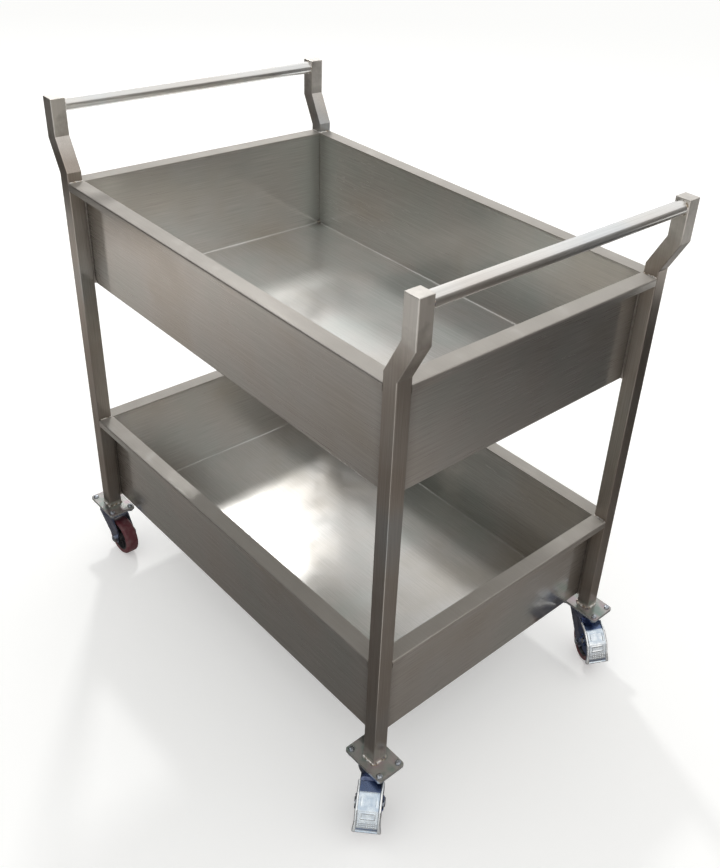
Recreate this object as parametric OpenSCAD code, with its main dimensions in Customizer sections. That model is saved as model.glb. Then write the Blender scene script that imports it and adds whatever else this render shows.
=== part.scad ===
// Two-tray stainless serving trolley on four swivel casters, two of them braked.
// Millimetres. X runs along the length with the braked end at +X, Y across the width,
// Z up. The origin lies on the floor, midway between the four legs.

/* [Frame] */
// Length over the outer faces of the legs
frame_l = 832; // [600:1:1200]
// Width over the outer faces of the legs
frame_w = 549; // [400:1:800]
// Side of the square leg tube
leg_size = 25.4; // [20:0.1:26]
// Wall of the leg tube
leg_wall = 1.2; // [1:0.1:3]
// Rounding along the edges of the leg tube
leg_edge_r = 1.6; // [0.5:0.1:2.5]

/* [Handles] */
// How far the top of each leg is cranked outwards
crank_out = 27; // [10:0.5:50]
// Height of the first bend above the upper rim, on the tube's centre line
crank_start = 13.5; // [10:0.5:60]
// Height from the first bend to the second
crank_rise = 53; // [30:0.5:90]
// Height of the leg's closed top above the upper rim
stub_top = 131; // [115:1:220]
// Thickness of the square cap that closes each leg
cap_t = 2; // [1.5:0.1:4]
// Outer diameter of the handle tube
handle_d = 22.2; // [16:0.1:25]
// Wall of the handle tube
handle_wall = 1.2; // [1:0.1:3]
// Depth of the handle's centre line below the closed top
handle_drop = 14; // [12.6:0.1:20]

/* [Trays] */
// Depth of each tray from its rim to its underside
tray_depth = 188; // [60:1:200]
// Height from the lower rim to the upper rim
tray_pitch = 468; // [300:1:600]
// Space between the foot plates and the underside of the lower tray
tray_clear = 20; // [10:1:150]
// Width of the flange around each tray
flange_w = 26.5; // [26.5:0.5:60]
// Height of the lip turned down from the flange
lip_h = 13; // [8:0.5:30]
// Thickness of the tray sheet
sheet_t = 1.2; // [0.8:0.1:2]
// Outer radius of the bend between tray floor and walls
floor_bend_r = 4; // [2.5:0.5:12]
// Outer radius of the bend between flange and lip
lip_bend_r = 2; // [1.2:0.1:4]

/* [Foot plates] */
// Length of the foot plates and caster plates
foot_l = 82; // [78:1:110]
// Width of the foot plates and caster plates
foot_w = 52; // [50:1:80]
// Thickness of the foot plate welded under each leg
foot_t = 3; // [2:0.5:6]
// Thickness of the caster's own plate
caster_plate_t = 2.5; // [2:0.5:5]
// Rounding at the corners of the plates
plate_corner_r = 5; // [2:0.5:8]
// Bolt centre to the plate's short edge
bolt_inset_x = 8; // [7.5:0.5:12]
// Bolt centre to the plate's long edge
bolt_inset_y = 7; // [6.5:0.5:8]

/* [Fasteners] */
// Diameter of the plate bolts
bolt_d = 6; // [4:0.5:6]
// Width across the flats of the plate bolts and nuts
bolt_af = 10; // [9.5:0.5:11]
// Height of the plate bolt's head
bolt_head_h = 3.6; // [2:0.1:5]
// Height of the plate nut
plate_nut_h = 4.6; // [3:0.1:6]
// Diameter of the axle bolt
axle_d = 8; // [6:0.5:9]
// Width across the flats of the axle bolt and nut
axle_af = 13; // [11:0.5:14]
// Height of the axle bolt's head and nut
axle_head_h = 5.5; // [4:0.5:8]
// Length of bolt that shows past a nut
bolt_tip = 1.5; // [0.5:0.5:2.5]
// Radial clearance of a bolt in a drilled hole
hole_clear = 0.25; // [0.15:0.05:0.5]
// Radial running clearance of every turning fit
run_clear = 0.05; // [0.03:0.01:0.1]

/* [Casters] */
// Wheel diameter
wheel_d = 75; // [60:1:100]
// Wheel width over the tread
wheel_w = 25; // [18:1:32]
// Thickness of the tyre on the wheel core
tyre_t = 9; // [5:0.5:12]
// Rounding of the tyre's shoulders
tyre_shoulder_r = 5; // [2:0.5:7]
// Horizontal distance from swivel axis to axle
trail = 32; // [28:1:40]
// Space between the wheel and the fork crown
wheel_gap = 6.5; // [5:0.5:12]
// Space between the wheel's tread and each fork cheek
cheek_gap = 3; // [2.5:0.25:5]
// Thickness of the fork's sheet
fork_t = 2.5; // [2:0.5:4]
// Height from the fork crown to the caster plate
race_h = 13.5; // [12.5:0.5:18]
// Radius of the circle on which the swivel balls run
race_r = 17.5; // [16.5:0.5:22]
// Diameter of the swivel balls
ball_d = 6; // [5:0.25:7]
// Number of swivel balls in each caster
ball_count = 16; // [8:1:16]
// Diameter of the kingpin
kingpin_d = 10; // [8:0.5:12]
// Wall of the spacer tube around the axle
bush_wall = 1.9; // [1.5:0.1:3]

/* [Brake pedals] */
// Gap between the tread and the outside of the pedal
pedal_reach = 8; // [7:0.5:12]
// Thickness of the pedal's sheet
pedal_t = 2; // [1.5:0.1:2.5]
// Side clearance between the pedal and the fork cheeks
pedal_clear = 0.3; // [0.2:0.05:0.6]
// Angle that the pedal turns from free to locked
pedal_stroke = 6; // [3:0.5:7]
// Width of the pedal's foot lip
lip_w = 45; // [42:0.5:60]
// Length of the foot lip along the slope
foot_lip_l = 17; // [10:0.5:24]
// Width of the brake shoe
shoe_w = 22; // [14:0.5:24]
// Gap between the shoe and the tread when locked
shoe_gap = 0.3; // [0.2:0.05:0.6]

/* [Casters as parked] */
// Direction of the front right caster, in degrees from +X
front_right_yaw = -48; // [-180:1:180]
// Direction of the back right caster
back_right_yaw = -29; // [-180:1:180]
// Direction of the front left caster
front_left_yaw = 0; // [-180:1:180]
// Direction of the back left caster
back_left_yaw = 24; // [-180:1:180]

/* [Hidden] */
$fn = 48;
corner_names = ["front_right", "back_right", "front_left", "back_left"];
corner_sides = [[1, -1], [1, 1], [-1, -1], [-1, 1]];
corner_yaws = [front_right_yaw, back_right_yaw, front_left_yaw, back_left_yaw];
all_corners = [0, 1, 2, 3];
braked_corners = [for (c = all_corners) if (corner_sides[c].x > 0) c];
caster_pieces = ["caster_plate", "kingpin", "swivel_balls", "fork", "axle_bolt",
    "axle_nut", "axle_bush", "wheel_core", "tyre"];
brake_pieces = ["brake_pedal", "brake_shoe", "pedal_rivets"];

// Colours
satin_steel = [0.62, 0.62, 0.60];
leg_steel = [0.50, 0.49, 0.46];
polished_steel = [0.80, 0.80, 0.79];
zinc = [0.72, 0.76, 0.82];
maroon = [0.36, 0.10, 0.12];
core_grey = [0.25, 0.25, 0.26];
shoe_black = [0.10, 0.10, 0.10];

// Reaches well past the solid that a cut opens
over = 1;

// Heights, from the floor up
wheel_r = wheel_d / 2;
crown_under_z = wheel_d + wheel_gap;
crown_top_z = crown_under_z + fork_t;
caster_plate_z = crown_top_z + race_h;
caster_h = caster_plate_z + caster_plate_t;
leg_foot_z = caster_h + foot_t;
lower_floor_z = leg_foot_z + tray_clear;
lower_rim_z = lower_floor_z + tray_depth;
upper_rim_z = lower_rim_z + tray_pitch;
stub_top_z = upper_rim_z + stub_top;
handle_z = stub_top_z - handle_drop;

// Places of the legs and handles, and the small radii of their edges
leg_inner_r = 0.5;
cap_edge_r = 1.2;
leg_x = (frame_l - leg_size) / 2;
leg_y = (frame_w - leg_size) / 2;
handle_x = leg_x + crank_out;
handle_l = frame_w - 2 * leg_size;

// Swivel race: a ring under the plate, a ring on the crown and a skirt round both
ball_r = ball_d / 2;
ball_z = crown_top_z + race_h / 2;
ball_clear = 0.1;
ring_gap = 0.8;
ring_lip = 1.9;
hub_lip = 2.5;
ring_r = race_r + ball_r + ring_lip;
skirt_clear = 0.6;
skirt_t = 1.5;
skirt_r = ring_r + skirt_clear + skirt_t;
skirt_top_gap = 2.5;
crown_hub_r = race_r - ball_r - hub_lip;
kingpin_r = kingpin_d / 2;
kingpin_head_lip = 3;
kingpin_head_h = 2.6;
kingpin_recess = 0.6;
kingpin_foot_lip = 4;
kingpin_foot_h = 3;
crown_float = 0.25;

// Fork: its cheeks run from a boss at the axle up to the crown's edge
fork_in = wheel_w + 2 * cheek_gap;
fork_out = fork_in + 2 * fork_t;
fork_bend_r = 4;
crown_edge_h = 9;
fork_shoulder = 4;
fork_back_rise = 14;
axle_boss_r = 11;
boss_arc = [226, 350];

// Wheel: a ribbed core with a moulded tyre, on a tube round the axle bolt
axle_r = axle_d / 2;
bush_r = axle_r + run_clear + bush_wall;
bush_end_gap = 0.1;
hub_wall = 5;
hub_end_gap = 1;
hub_r = bush_r + hub_wall;
hub_w = fork_in - 2 * hub_end_gap;
rim_wall = 4;
web_t = 7;
core_draft = 1;
rim_inset = 1.5;
tyre_bead = 2;
core_r = wheel_r - tyre_t;
core_w = wheel_w - 2 * rim_inset;
wheel_ribs = 6;
rib_t = 2;
rib_inset = 2;

// Brake pedal, drawn about the axle: its bends lie at these angles, from the top down
pedal_r = wheel_r + pedal_reach;
pedal_bends = [87, 66, 36, 12];
pedal_skirt_depth = 14;
pedal_in = fork_out + 2 * pedal_clear;
pedal_out = pedal_in + 2 * pedal_t;
rail_w = 3;
rail_h = 1.1;
pad_gap = 3.5;
pad_border = 2.8;
pad_emboss = 0.7;
lip_angle = -70;
lip_step = 0.3;
lip_roll_r = 1.8;
grip_bars = [0.45, 0.7];
grip_bar_w = 1.6;
grip_bar_inset = 6;
pedal_pivot = [20, 22.5];
pivot_r = 3;
pivot_ear_r = 8;
pivot_ear_arc = [-25, 62];
rivet_lip = 2;
rivet_inner_h = 1.2;
rivet_outer_h = 1.8;
shoe_arc = [33, 15];
shoe_margin = 0.15;

// Lists of points and small helpers

function arc(centre, r, from, to, steps = 6) =
    [for (i = [0 : steps]) let (a = from + (to - from) * i / steps) centre + r * [cos(a), sin(a)]];

function rounded_rect(l, w, r, steps = 4) = concat(
    arc([l / 2 - r, w / 2 - r], r, 0, 90, steps),
    arc([-l / 2 + r, w / 2 - r], r, 90, 180, steps),
    arc([-l / 2 + r, -w / 2 + r], r, 180, 270, steps),
    arc([l / 2 - r, -w / 2 + r], r, 270, 360, steps));

// Inner radius of a bend in sheet, never quite sharp
function inner_bend(outer_r, sheet) = max(outer_r - sheet, 0.3);

// A point on the pedal's side view, by its radius and angle about the axle
function about_axle(r, a) = [trail + r * cos(a), wheel_r + r * sin(a)];

// Turns a side view, drawn as X and Z, into a solid of the given width centred on Y
module side_extrude(width) {
    translate([0, width / 2, 0])
        rotate([90, 0, 0])
            linear_extrude(width)
                children();
}

module hexagon(af, h) {
    cylinder(r = af / 2 / cos(30), h = h, $fn = 6);
}

// Moves a piece to a corner of the frame
module at_corner(c) {
    translate([corner_sides[c].x * leg_x, corner_sides[c].y * leg_y, 0])
        children();
}

// Moves a piece to a corner and turns it with its caster
module on_caster(c) {
    at_corner(c)
        rotate([0, 0, corner_yaws[c]])
            children();
}

// Repeats a piece at the four bolt holes of a plate
module at_plate_bolts() {
    for (sx = [-1, 1], sy = [-1, 1])
        translate([sx * (foot_l / 2 - bolt_inset_x), sy * (foot_w / 2 - bolt_inset_y), 0])
            children();
}

// Frame

// One straight run of a cranked tube in the XZ plane, mitred at both ends
module mitred_run(from, to, lean_before, lean, lean_after, side, edge_r) {
    run = norm(to - from);
    reach = 4 * leg_size;
    difference() {
        translate([from.x, 0, from.y])
            rotate([0, lean, 0])
                translate([0, 0, -leg_size])
                    linear_extrude(run + 2 * leg_size)
                        polygon(rounded_rect(side, side, edge_r));
        translate([from.x, 0, from.y])
            rotate([0, (lean_before + lean) / 2, 0])
                translate([-reach, -reach, -2 * reach])
                    cube(2 * reach);
        translate([to.x, 0, to.y])
            rotate([0, (lean + lean_after) / 2, 0])
                translate([-reach, -reach, 0])
                    cube(2 * reach);
    }
}

// The leg's path: up from the foot, leaning out above the rim, then up again
module cranked_bar(side, edge_r, extra) {
    low = [0, leg_foot_z - extra];
    bend_1 = [0, upper_rim_z + crank_start];
    bend_2 = [crank_out, upper_rim_z + crank_start + crank_rise];
    high = [crank_out, stub_top_z - cap_t + extra];
    lean = atan2(crank_out, crank_rise);
    mitred_run(low, bend_1, 0, 0, lean, side, edge_r);
    mitred_run(bend_1, bend_2, 0, lean, 0, side, edge_r);
    mitred_run(bend_2, high, lean, 0, 0, side, edge_r);
}

module leg(c) {
    color(leg_steel)
        at_corner(c)
            mirror([corner_sides[c].x < 0 ? 1 : 0, 0, 0])
                difference() {
                    cranked_bar(leg_size, leg_edge_r, 0);
                    cranked_bar(leg_size - 2 * leg_wall, leg_inner_r, over);
                }
}

// Square plates welded into the tops of the legs and ground smooth
module leg_caps() {
    color(leg_steel)
        for (s = corner_sides)
            translate([s.x * handle_x, s.y * leg_y, stub_top_z - cap_t])
                intersection() {
                    linear_extrude(cap_t)
                        polygon(rounded_rect(leg_size, leg_size, leg_edge_r));
                    side_extrude(leg_size)
                        polygon(cap_side());
                    rotate([0, 0, 90])
                        side_extrude(leg_size)
                            polygon(cap_side());
                }
}

// Side view of a cap, with its upper edges ground round
function cap_side() = let (half = leg_size / 2, r = cap_edge_r) concat(
    [[-half, 0], [half, 0]],
    arc([half - r, cap_t - r], r, 0, 90, 3),
    arc([-half + r, cap_t - r], r, 90, 180, 3));

// Round tube between the tops of two legs
module handle(side) {
    color(polished_steel)
        translate([side * handle_x, handle_l / 2, handle_z])
            rotate([90, 0, 0])
                difference() {
                    cylinder(d = handle_d, h = handle_l);
                    translate([0, 0, -over])
                        cylinder(d = handle_d - 2 * handle_wall, h = handle_l + 2 * over);
                }
}

// Trays

// Side view of a folded pan: open above, its lower corners bent to a radius
function pan_side(half, r, bottom, top) = concat(
    [[half, top], [-half, top]],
    arc([-half + r, bottom + r], r, 180, 270),
    arc([half - r, bottom + r], r, 270, 360));

// Side view of a block whose two upper edges are rounded
function rim_side(half, r, bottom, top) = concat(
    [[-half, bottom], [half, bottom]],
    arc([half - r, top - r], r, 0, 90, 4),
    arc([-half + r, top - r], r, 90, 180, 4));

// A pan set in from the outer face of the legs, with rounded floor bends
module pan(inset, r, bottom, top) {
    half_l = frame_l / 2 - inset;
    half_w = frame_w / 2 - inset;
    intersection() {
        side_extrude(2 * half_w)
            polygon(pan_side(half_l, r, bottom, top));
        rotate([0, 0, 90])
            side_extrude(2 * half_l)
                polygon(pan_side(half_w, r, bottom, top));
    }
}

// A block as long and wide as the frame less an inset, with rounded upper edges
module rim_block(inset, r, bottom, top) {
    half_l = frame_l / 2 - inset;
    half_w = frame_w / 2 - inset;
    intersection() {
        side_extrude(2 * half_w)
            polygon(rim_side(half_l, r, bottom, top));
        rotate([0, 0, 90])
            side_extrude(2 * half_l)
                polygon(rim_side(half_w, r, bottom, top));
    }
}

// Folded tray: tub, flange and turned-down lip, notched round the legs
module tray(rim_z) {
    floor_z = rim_z - tray_depth;
    color(satin_steel)
        difference() {
            union() {
                difference() {
                    rim_block(0, lip_bend_r, rim_z - lip_h, rim_z);
                    rim_block(sheet_t, inner_bend(lip_bend_r, sheet_t), rim_z - lip_h - over,
                        rim_z - sheet_t);
                }
                pan(flange_w, floor_bend_r, floor_z, rim_z - sheet_t / 2);
            }
            pan(flange_w + sheet_t, inner_bend(floor_bend_r, sheet_t), floor_z + sheet_t,
                rim_z + over);
            for (s = corner_sides)
                translate([s.x * leg_x, s.y * leg_y, rim_z - lip_h - over])
                    linear_extrude(lip_h + 2 * over)
                        square(leg_size, center = true);
        }
}

// Foot plates and their bolts

module plate_outline(t) {
    linear_extrude(t)
        polygon(rounded_rect(foot_l, foot_w, plate_corner_r));
}

module plate_holes(bottom, t) {
    at_plate_bolts()
        translate([0, 0, bottom - over])
            cylinder(r = bolt_d / 2 + hole_clear, h = t + 2 * over);
}

module foot_plate(c) {
    color(satin_steel)
        at_corner(c)
            difference() {
                translate([0, 0, caster_h])
                    plate_outline(foot_t);
                plate_holes(caster_h, foot_t);
            }
}

// Sixteen bolts that hold the casters under the foot plates, heads up
module plate_bolts() {
    shank_l = foot_t + caster_plate_t + plate_nut_h + bolt_tip;
    color(zinc)
        for (c = all_corners)
            at_corner(c)
                at_plate_bolts() {
                    translate([0, 0, leg_foot_z])
                        rotate_extrude()
                            polygon(bolt_head_side());
                    translate([0, 0, leg_foot_z - shank_l])
                        cylinder(d = bolt_d, h = shank_l + over);
                }
}

// Half section of a low domed head
function bolt_head_side() = let (r = bolt_af / 2, rim = bolt_head_h / 3) concat(
    [[0, 0], [r, 0], [r, rim]],
    [for (i = [1 : 4]) let (a = 90 * i / 4)
        [r * cos(a), rim + (bolt_head_h - rim) * sin(a)]]);

module plate_nuts() {
    color(zinc)
        for (c = all_corners)
            at_corner(c)
                at_plate_bolts()
                    translate([0, 0, caster_plate_z - plate_nut_h])
                        difference() {
                            hexagon(bolt_af, plate_nut_h);
                            translate([0, 0, -over])
                                cylinder(r = bolt_d / 2 + run_clear, h = plate_nut_h + 2 * over);
                        }
}

// Casters, drawn with the swivel axis on Z and the wheel trailing towards +X

// The groove in which the balls run
module ball_groove() {
    rotate_extrude()
        translate([race_r, ball_z])
            circle(r = ball_r + ball_clear);
}

// Pressed plate with the upper ball ring and a recess for the kingpin's head
module caster_plate(c) {
    recess_z = caster_h - kingpin_recess - kingpin_head_h;
    color(zinc)
        at_corner(c)
            difference() {
                union() {
                    translate([0, 0, caster_plate_z])
                        plate_outline(caster_plate_t);
                    translate([0, 0, ball_z + ring_gap])
                        cylinder(r = ring_r, h = caster_plate_z - ball_z - ring_gap + over);
                }
                plate_holes(caster_plate_z, caster_plate_t);
                ball_groove();
                translate([0, 0, recess_z])
                    cylinder(r = kingpin_r + kingpin_head_lip + hole_clear, h = caster_h - recess_z + over);
                translate([0, 0, ball_z])
                    cylinder(r = kingpin_r + run_clear, h = caster_h - ball_z);
            }
}

// Rivet that holds plate and fork together: head in the plate, foot under the crown
module kingpin(c) {
    head_z = caster_h - kingpin_recess - kingpin_head_h;
    foot_z = crown_under_z - crown_float - kingpin_foot_h;
    color(zinc)
        at_corner(c) {
            translate([0, 0, head_z])
                cylinder(r = kingpin_r + kingpin_head_lip, h = kingpin_head_h);
            translate([0, 0, foot_z])
                cylinder(r = kingpin_r, h = head_z - foot_z + over);
            translate([0, 0, foot_z])
                cylinder(r = kingpin_r + kingpin_foot_lip, h = kingpin_foot_h);
        }
}

module swivel_balls(c) {
    color(polished_steel)
        on_caster(c)
            for (i = [0 : ball_count - 1])
                rotate([0, 0, 360 * i / ball_count])
                    translate([race_r, 0, ball_z])
                        sphere(r = ball_r);
}

// Side view of the fork: crown, front edge, axle end and, with a brake, the pivot ear
function fork_side(braked) = let (edge_z = crown_top_z - crown_edge_h) concat(
    [[skirt_r, crown_top_z], [-skirt_r, crown_top_z], [-skirt_r, edge_z]],
    arc([trail, wheel_r], axle_boss_r, boss_arc[0], boss_arc[1], 10),
    braked
        ? arc([trail, wheel_r] + pedal_pivot, pivot_ear_r, pivot_ear_arc[0], pivot_ear_arc[1])
        : [[trail + axle_boss_r, wheel_r + fork_back_rise], [skirt_r + fork_shoulder, edge_z]]);

// Half section of the ring that carries the balls, with its dust skirt
function crown_ring_side() = let (ring_z = ball_z - ring_gap) [
    [crown_hub_r, crown_top_z - over], [skirt_r, crown_top_z - over],
    [skirt_r, caster_plate_z - skirt_top_gap],
    [skirt_r - skirt_t, caster_plate_z - skirt_top_gap],
    [skirt_r - skirt_t, ring_z], [crown_hub_r, ring_z]];

// End view of the fork's channel, drawn as Y and Z, with bends at its upper edges
function channel_end(width, r, bottom, top) = concat(
    [[-width / 2, bottom], [width / 2, bottom]],
    arc([width / 2 - r, top - r], r, 0, 90, 4),
    arc([-width / 2 + r, top - r], r, 90, 180, 4));

module channel(width, r, bottom, top) {
    reach = 4 * wheel_d;
    rotate([0, 0, 90])
        side_extrude(reach)
            polygon(channel_end(width, r, bottom, top));
}

// Pressed fork: a channel over the wheel with the lower ball ring on its crown
module fork(c, braked) {
    color(zinc)
        on_caster(c)
            difference() {
                union() {
                    intersection() {
                        side_extrude(fork_out)
                            polygon(fork_side(braked));
                        channel(fork_out, fork_bend_r, 0, crown_top_z);
                    }
                    rotate_extrude()
                        polygon(crown_ring_side());
                }
                channel(fork_in, inner_bend(fork_bend_r, fork_t), -over, crown_under_z);
                ball_groove();
                cylinder(r = kingpin_r + run_clear, h = caster_h);
                translate([trail, fork_out, wheel_r])
                    rotate([90, 0, 0])
                        cylinder(r = axle_r + hole_clear, h = 2 * fork_out);
                if (braked)
                    pivot_bore(pivot_r + run_clear, fork_out);
            }
}

// A bore through both sides at the pedal's pivot
module pivot_bore(r, width) {
    translate([trail + pedal_pivot.x, width, wheel_r + pedal_pivot.y])
        rotate([90, 0, 0])
            cylinder(r = r, h = 2 * width);
}

module axle_bolt(c) {
    shank_l = fork_out + axle_head_h + bolt_tip;
    color(zinc)
        on_caster(c)
            translate([trail, fork_out / 2, wheel_r])
                rotate([90, 0, 0]) {
                    cylinder(r = axle_r, h = shank_l);
                    translate([0, 0, -axle_head_h])
                        hexagon(axle_af, axle_head_h);
                }
}

module axle_nut(c) {
    color(zinc)
        on_caster(c)
            translate([trail, -fork_out / 2, wheel_r])
                rotate([90, 0, 0])
                    difference() {
                        hexagon(axle_af, axle_head_h);
                        translate([0, 0, -over])
                            cylinder(r = axle_r + run_clear, h = axle_head_h + 2 * over);
                    }
}

// Steel tube clamped between the cheeks, on which the wheel turns
module axle_bush(c) {
    bush_l = fork_in - 2 * bush_end_gap;
    color(polished_steel)
        on_caster(c)
            translate([trail, bush_l / 2, wheel_r])
                rotate([90, 0, 0])
                    difference() {
                        cylinder(r = bush_r, h = bush_l);
                        translate([0, 0, -over])
                            cylinder(r = axle_r + run_clear, h = bush_l + 2 * over);
                    }
}

// Half section of the wheel core: hub, web and rim
function core_side() = let (rim_in = core_r - rim_wall, d = core_draft) [
    [bush_r + run_clear, -hub_w / 2], [hub_r, -hub_w / 2], [hub_r + d, -web_t / 2],
    [rim_in, -web_t / 2], [rim_in + d, -core_w / 2], [core_r, -core_w / 2],
    [core_r, core_w / 2], [rim_in + d, core_w / 2], [rim_in, web_t / 2],
    [hub_r + d, web_t / 2], [hub_r, hub_w / 2], [bush_r + run_clear, hub_w / 2]];

module wheel_core(c) {
    rib_l = core_r - rim_wall - hub_r + 2 * core_draft;
    rib_h = core_w - 2 * rib_inset;
    color(core_grey)
        on_caster(c)
            translate([trail, 0, wheel_r])
                rotate([90, 0, 0]) {
                    rotate_extrude()
                        polygon(core_side());
                    for (i = [0 : wheel_ribs - 1])
                        rotate([0, 0, 360 * i / wheel_ribs])
                            translate([hub_r - core_draft, -rib_t / 2, -rib_h / 2])
                                cube([rib_l, rib_t, rib_h]);
                }
}

// Half section of the tyre, its tread rounded off at both shoulders
function tyre_side() = let (w = wheel_w / 2, r = tyre_shoulder_r) concat(
    [[core_r, w - rim_inset], [core_r, -w + rim_inset], [core_r + tyre_bead, -w]],
    arc([wheel_r - r, -w + r], r, -90, 0),
    arc([wheel_r - r, w - r], r, 0, 90),
    [[core_r + tyre_bead, w]]);

module tyre(c) {
    color(maroon)
        on_caster(c)
            translate([trail, 0, wheel_r])
                rotate([90, 0, 0])
                    rotate_extrude()
                        polygon(tyre_side());
}

// Brake pedals

// Side view of a strip that follows the pedal's bends between two radii
function pedal_strip(r_out, r_in) = concat(
    [for (a = pedal_bends) about_axle(r_out, a)],
    [for (i = [len(pedal_bends) - 1 : -1 : 0]) about_axle(r_in, pedal_bends[i])]);

// Raised plain frame pressed into the flat between two bends
module pressed_frame(i) {
    from = about_axle(pedal_r, pedal_bends[i]);
    to = about_axle(pedal_r, pedal_bends[i + 1]);
    middle = (from + to) / 2;
    slope = atan2(to.y - from.y, to.x - from.x);
    along = norm(to - from) - 2 * pad_gap;
    across = pedal_out - 2 * rail_w - 2 * pad_gap;
    translate([middle.x, 0, middle.y])
        rotate([0, -slope, 0])
            translate([0, 0, -pad_emboss])
                difference() {
                    linear_extrude(2 * pad_emboss)
                        polygon(rounded_rect(along, across, 2));
                    translate([0, 0, -over])
                        linear_extrude(2 * pad_emboss + 2 * over)
                            polygon(rounded_rect(along - 2 * pad_border,
                                across - 2 * pad_border, 1));
                }
}

// Flared foot at the bottom of the pedal, with a rolled edge
module foot_lip() {
    from = about_axle(pedal_r - lip_step, pedal_bends[3]);
    root = (pedal_out - pedal_t) / 2;
    translate([from.x, 0, from.y])
        rotate([0, -lip_angle, 0]) {
            translate([0, 0, -pedal_t])
                linear_extrude(pedal_t)
                    polygon([[-over, -root], [foot_lip_l, -lip_w / 2],
                        [foot_lip_l, lip_w / 2], [-over, root]]);
            translate([foot_lip_l, lip_w / 2, -pedal_t / 2])
                rotate([90, 0, 0])
                    cylinder(r = lip_roll_r, h = lip_w);
            for (share = grip_bars)
                translate([share * foot_lip_l, 0, -pedal_t / 2])
                    linear_extrude(pedal_t / 2 + pad_emboss)
                        square([grip_bar_w, lip_w - 2 * grip_bar_inset], center = true);
        }
}

module brake_pedal(c) {
    color(zinc)
        on_caster(c)
            difference() {
                union() {
                    side_extrude(pedal_out)
                        polygon(pedal_strip(pedal_r, pedal_r - pedal_t));
                    for (s = [-1, 1]) {
                        translate([0, s * (pedal_out - pedal_t) / 2, 0])
                            side_extrude(pedal_t)
                                polygon(pedal_strip(pedal_r - pedal_t / 2,
                                    pedal_r - pedal_skirt_depth));
                        translate([0, s * (pedal_out - pedal_t) / 2, 0])
                            pivot_ear();
                        translate([0, s * (pedal_out - rail_w) / 2, 0])
                            side_extrude(rail_w)
                                polygon(pedal_strip(pedal_r + rail_h, pedal_r - pedal_t / 2));
                    }
                    pressed_frame(1);
                    pressed_frame(2);
                    foot_lip();
                }
                pivot_bore(pivot_r + run_clear, pedal_out);
            }
}

// Round ear on the pedal's skirt, about the pivot
module pivot_ear() {
    translate([trail + pedal_pivot.x, pedal_t / 2, wheel_r + pedal_pivot.y])
        rotate([90, 0, 0])
            cylinder(r = pivot_ear_r, h = pedal_t);
}

// Rubber block behind the pedal's lower flat, hollowed to meet the tread when locked
module brake_shoe(c) {
    pivot = [trail, wheel_r] + pedal_pivot;
    arm = -pedal_pivot;
    freed = pivot + [arm.x * cos(pedal_stroke) - arm.y * sin(pedal_stroke),
        arm.y * cos(pedal_stroke) + arm.x * sin(pedal_stroke)];
    back_from = about_axle(pedal_r - pedal_t, pedal_bends[2]);
    back_to = about_axle(pedal_r - pedal_t, pedal_bends[3]);
    color(shoe_black)
        on_caster(c)
            difference() {
                side_extrude(shoe_w)
                    polygon([
                        back_from + shoe_margin * (back_to - back_from),
                        back_to + shoe_margin * (back_from - back_to),
                        about_axle(wheel_r - over, shoe_arc[1]),
                        about_axle(wheel_r - over, shoe_arc[0])]);
                translate([freed.x, shoe_w, freed.y])
                    rotate([90, 0, 0])
                        cylinder(r = wheel_r + shoe_gap, h = 2 * shoe_w);
            }
}

// Two rivets, one through each cheek, on which the pedal rocks
module pedal_rivets(c) {
    head_r = pivot_r + rivet_lip;
    shank_l = (pedal_out - fork_in) / 2 + rivet_inner_h + run_clear + over;
    color(polished_steel)
        on_caster(c)
            for (s = [0, 1])
                mirror([0, s, 0])
                    translate([trail + pedal_pivot.x, 0, wheel_r + pedal_pivot.y])
                        rotate([-90, 0, 0]) {
                            translate([0, 0, fork_in / 2 - rivet_inner_h]) {
                                cylinder(r = head_r, h = rivet_inner_h);
                                cylinder(r = pivot_r, h = shank_l);
                            }
                            translate([0, 0, pedal_out / 2 + run_clear])
                                cylinder(r = head_r, h = rivet_outer_h);
                        }
}

tray(upper_rim_z);  // upper_tray
tray(lower_rim_z);  // lower_tray
handle(1);  // handle_right
handle(-1);  // handle_left
leg_caps();
plate_bolts();
plate_nuts();
for (c = all_corners) {
    name = corner_names[c];
    braked = corner_sides[c].x > 0;
    leg(c);
    foot_plate(c);
    caster_plate(c);
    kingpin(c);
    swivel_balls(c);
    fork(c, braked);
    axle_bolt(c);
    axle_nut(c);
    axle_bush(c);
    wheel_core(c);
    tyre(c);
}
for (c = braked_corners) {
    name = corner_names[c];
    brake_pedal(c);
    brake_shoe(c);
    pedal_rivets(c);
}
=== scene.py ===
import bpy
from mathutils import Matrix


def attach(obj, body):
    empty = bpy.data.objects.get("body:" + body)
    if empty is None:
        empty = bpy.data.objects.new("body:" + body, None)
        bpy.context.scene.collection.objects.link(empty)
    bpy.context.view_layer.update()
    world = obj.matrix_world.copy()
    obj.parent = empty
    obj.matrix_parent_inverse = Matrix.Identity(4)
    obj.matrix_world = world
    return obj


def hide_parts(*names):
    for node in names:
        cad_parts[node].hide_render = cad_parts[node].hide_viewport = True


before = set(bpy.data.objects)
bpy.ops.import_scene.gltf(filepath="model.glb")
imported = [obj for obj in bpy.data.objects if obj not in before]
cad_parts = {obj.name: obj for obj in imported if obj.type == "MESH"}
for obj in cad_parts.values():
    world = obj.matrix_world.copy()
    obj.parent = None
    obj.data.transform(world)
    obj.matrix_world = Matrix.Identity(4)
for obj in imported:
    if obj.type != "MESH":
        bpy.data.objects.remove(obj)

"""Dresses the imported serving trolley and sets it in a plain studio.

The trolley's solids come from the frame. This file gives each of them its finish, adds what a
solid model leaves out, such as weld beads, pressed pedals, threads and chamfered nuts, and sets the
floor, the lamps and the camera. Lengths are millimetres, except that meshes and the studio's lamps,
cards and floor are in metres.
"""

import logging
import math
from dataclasses import dataclass, field
from enum import Enum

import bpy
import numpy as np
from mathutils import Matrix, Vector

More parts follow.
